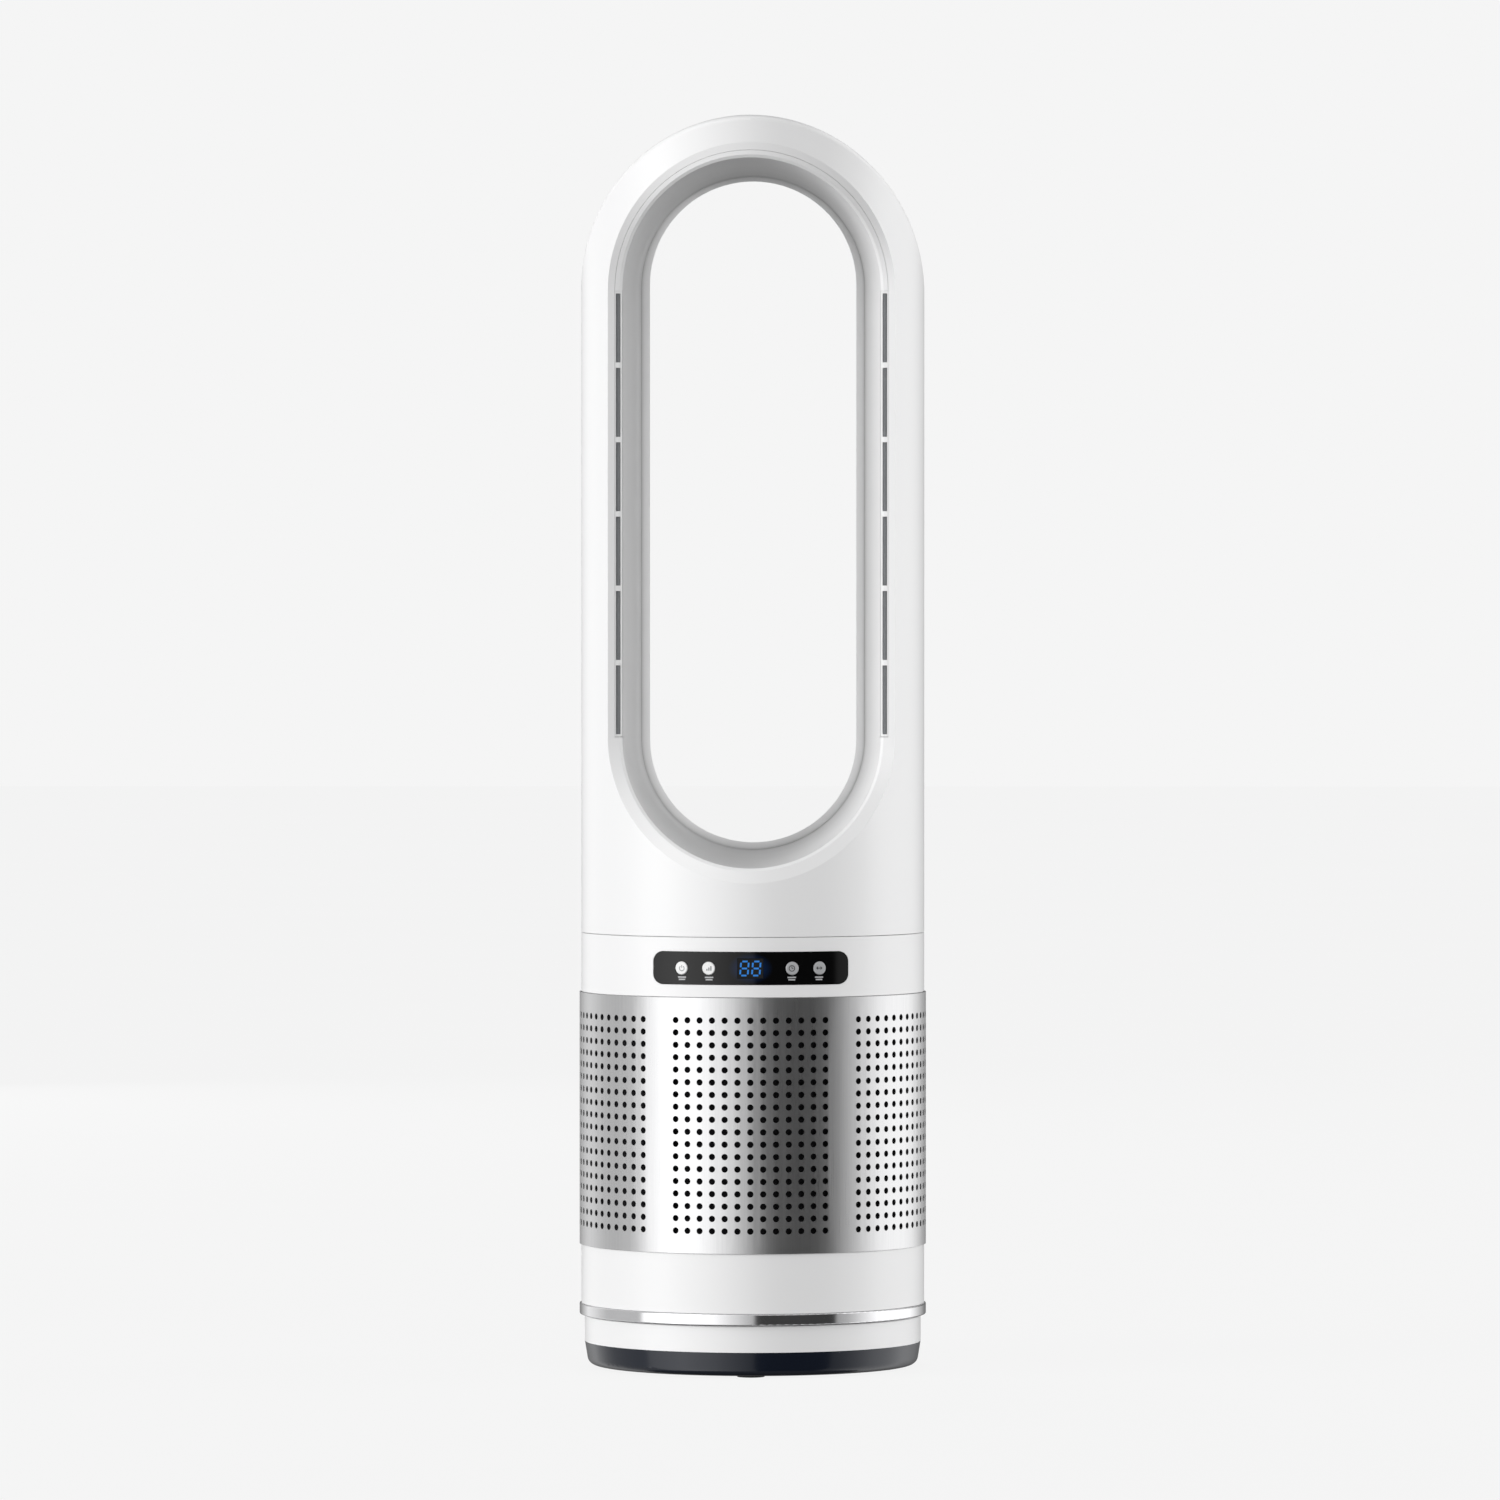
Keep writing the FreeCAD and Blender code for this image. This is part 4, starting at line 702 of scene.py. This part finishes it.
def only_mirrored(item):
    """Leaves a set piece in the mirrors alone: the camera, soft light and shadows pass it by."""
    item.visible_camera = False
    item.visible_diffuse = False
    item.visible_shadow = False
    item.visible_transmission = False
    item.visible_volume_scatter = False


def mirror_wrap():
    form = bmesh.new()
    side = [form.verts.new((0, WRAP_RADIUS, height)) for height in (WRAP_LOW, WRAP_HIGH)]
    edge = form.edges.new(side)
    geom = side + [edge]
    bmesh.ops.spin(form, geom=geom, cent=(0, 0, 0), axis=(0, 0, 1), angle=math.tau, steps=WRAP_STEPS,
                   use_merge=True)
    mesh = bpy.data.meshes.new("studio_wrap")
    form.to_mesh(mesh)
    form.free()
    item = bpy.data.objects.new("studio_wrap", mesh)
    bpy.context.scene.collection.objects.link(item)
    look = Look("studio_wrap_light", Roughness=1.0, Emission_Strength=WRAP_STRENGTH)
    look.shader.inputs["Base Color"].default_value = (0, 0, 0, 1)
    look.shader.inputs["Specular IOR Level"].default_value = 0
    x, y, _ = look.axes()
    turn = x.angle_from(-1.0 * y) * (1 / math.tau) + 0.5
    stops = [((azimuth + 180) / 360, light / WRAP_STRENGTH) for azimuth, light in WRAP_STOPS]
    look.feed("Emission Color", look.ramp(turn, stops))
    mesh.materials.append(look.material)
    only_mirrored(item)
    print("wrap:", len(mesh.polygons), "faces,", len(stops), "stops of light")
    return item


mirror_wrap()

# %% The air
BACKDROP = 0.913
AIR_STOPS = [(0.0, 0.22), (0.42, 0.42), (0.55, 0.63), (1.0, 0.72)]
AIR_BEHIND = 0.20


def studio_air():
    """The plain backdrop for the camera, and a soft fill for the fan, weaker from below and behind."""
    world = bpy.data.worlds.new("studio_air")
    world.use_nodes = True
    tree = world.node_tree
    shade = tree.nodes["Background"]

    def added(kind, **settings):
        node = tree.nodes.new(kind)
        for name, value in settings.items():
            setattr(node, name, value)
        return node

    def ranged(socket, low, high, to_low, to_high):
        scaled = added("ShaderNodeMapRange")
        for name, value in (("From Min", low), ("From Max", high), ("To Min", to_low), ("To Max", to_high)):
            scaled.inputs[name].default_value = value
        tree.links.new(socket, scaled.inputs["Value"])
        return scaled.outputs[0]

    place = added("ShaderNodeTexCoord")
    split = added("ShaderNodeSeparateXYZ")
    tree.links.new(place.outputs["Generated"], split.inputs[0])
    ramp = added("ShaderNodeValToRGB")
    while len(ramp.color_ramp.elements) < len(AIR_STOPS):
        ramp.color_ramp.elements.new(1.0)
    for stop, (position, light) in zip(ramp.color_ramp.elements, AIR_STOPS):
        stop.position = position
        stop.color = (light, light, light, 1)
    tree.links.new(ranged(split.outputs[2], -1, 1, 0, 1), ramp.inputs[0])
    front = ranged(split.outputs[1], -0.5, 0.5, 1, AIR_BEHIND)
    air = added("ShaderNodeMix", data_type="RGBA")
    tree.links.new(front, air.inputs[0])
    air.inputs[6].default_value = (0, 0, 0, 1)
    tree.links.new(ramp.outputs[0], air.inputs[7])
    path = added("ShaderNodeLightPath")
    seen = added("ShaderNodeMix", data_type="RGBA")
    seen.inputs[7].default_value = (BACKDROP, BACKDROP, BACKDROP, 1)
    tree.links.new(path.outputs["Is Camera Ray"], seen.inputs[0])
    tree.links.new(air.outputs[2], seen.inputs[6])
    tree.links.new(seen.outputs[2], shade.inputs["Color"])
    bpy.context.scene.world = world
    print("air: backdrop", BACKDROP, "and", len(AIR_STOPS), "stops of fill")


studio_air()

# %% Floor
FLOOR_HALF = 18


def floor():
    form = bmesh.new()
    bmesh.ops.create_grid(form, x_segments=1, y_segments=1, size=FLOOR_HALF)
    mesh = bpy.data.meshes.new("studio_floor")
    form.to_mesh(mesh)
    form.free()
    item = bpy.data.objects.new("studio_floor", mesh)
    bpy.context.scene.collection.objects.link(item)
    look = Look("studio_paper", Roughness=1.0, Emission_Strength=1.0)
    look.shader.inputs["Specular IOR Level"].default_value = 0
    grain = look.noise(3.0)
    look.feed("Base Color", look.blend(grain, (0.04, 0.04, 0.04, 1), (0.042, 0.042, 0.042, 1)))
    look.feed("Emission Color", look.blend(grain, (0.878, 0.878, 0.878, 1), (0.882, 0.882, 0.882, 1)))
    mesh.materials.append(look.material)
    item.visible_glossy = False
    item.visible_diffuse = False
    print("floor:", 2 * FLOOR_HALF, "m square")


floor()

# %% Finish
bpy.context.scene.view_settings.view_transform = "Standard"
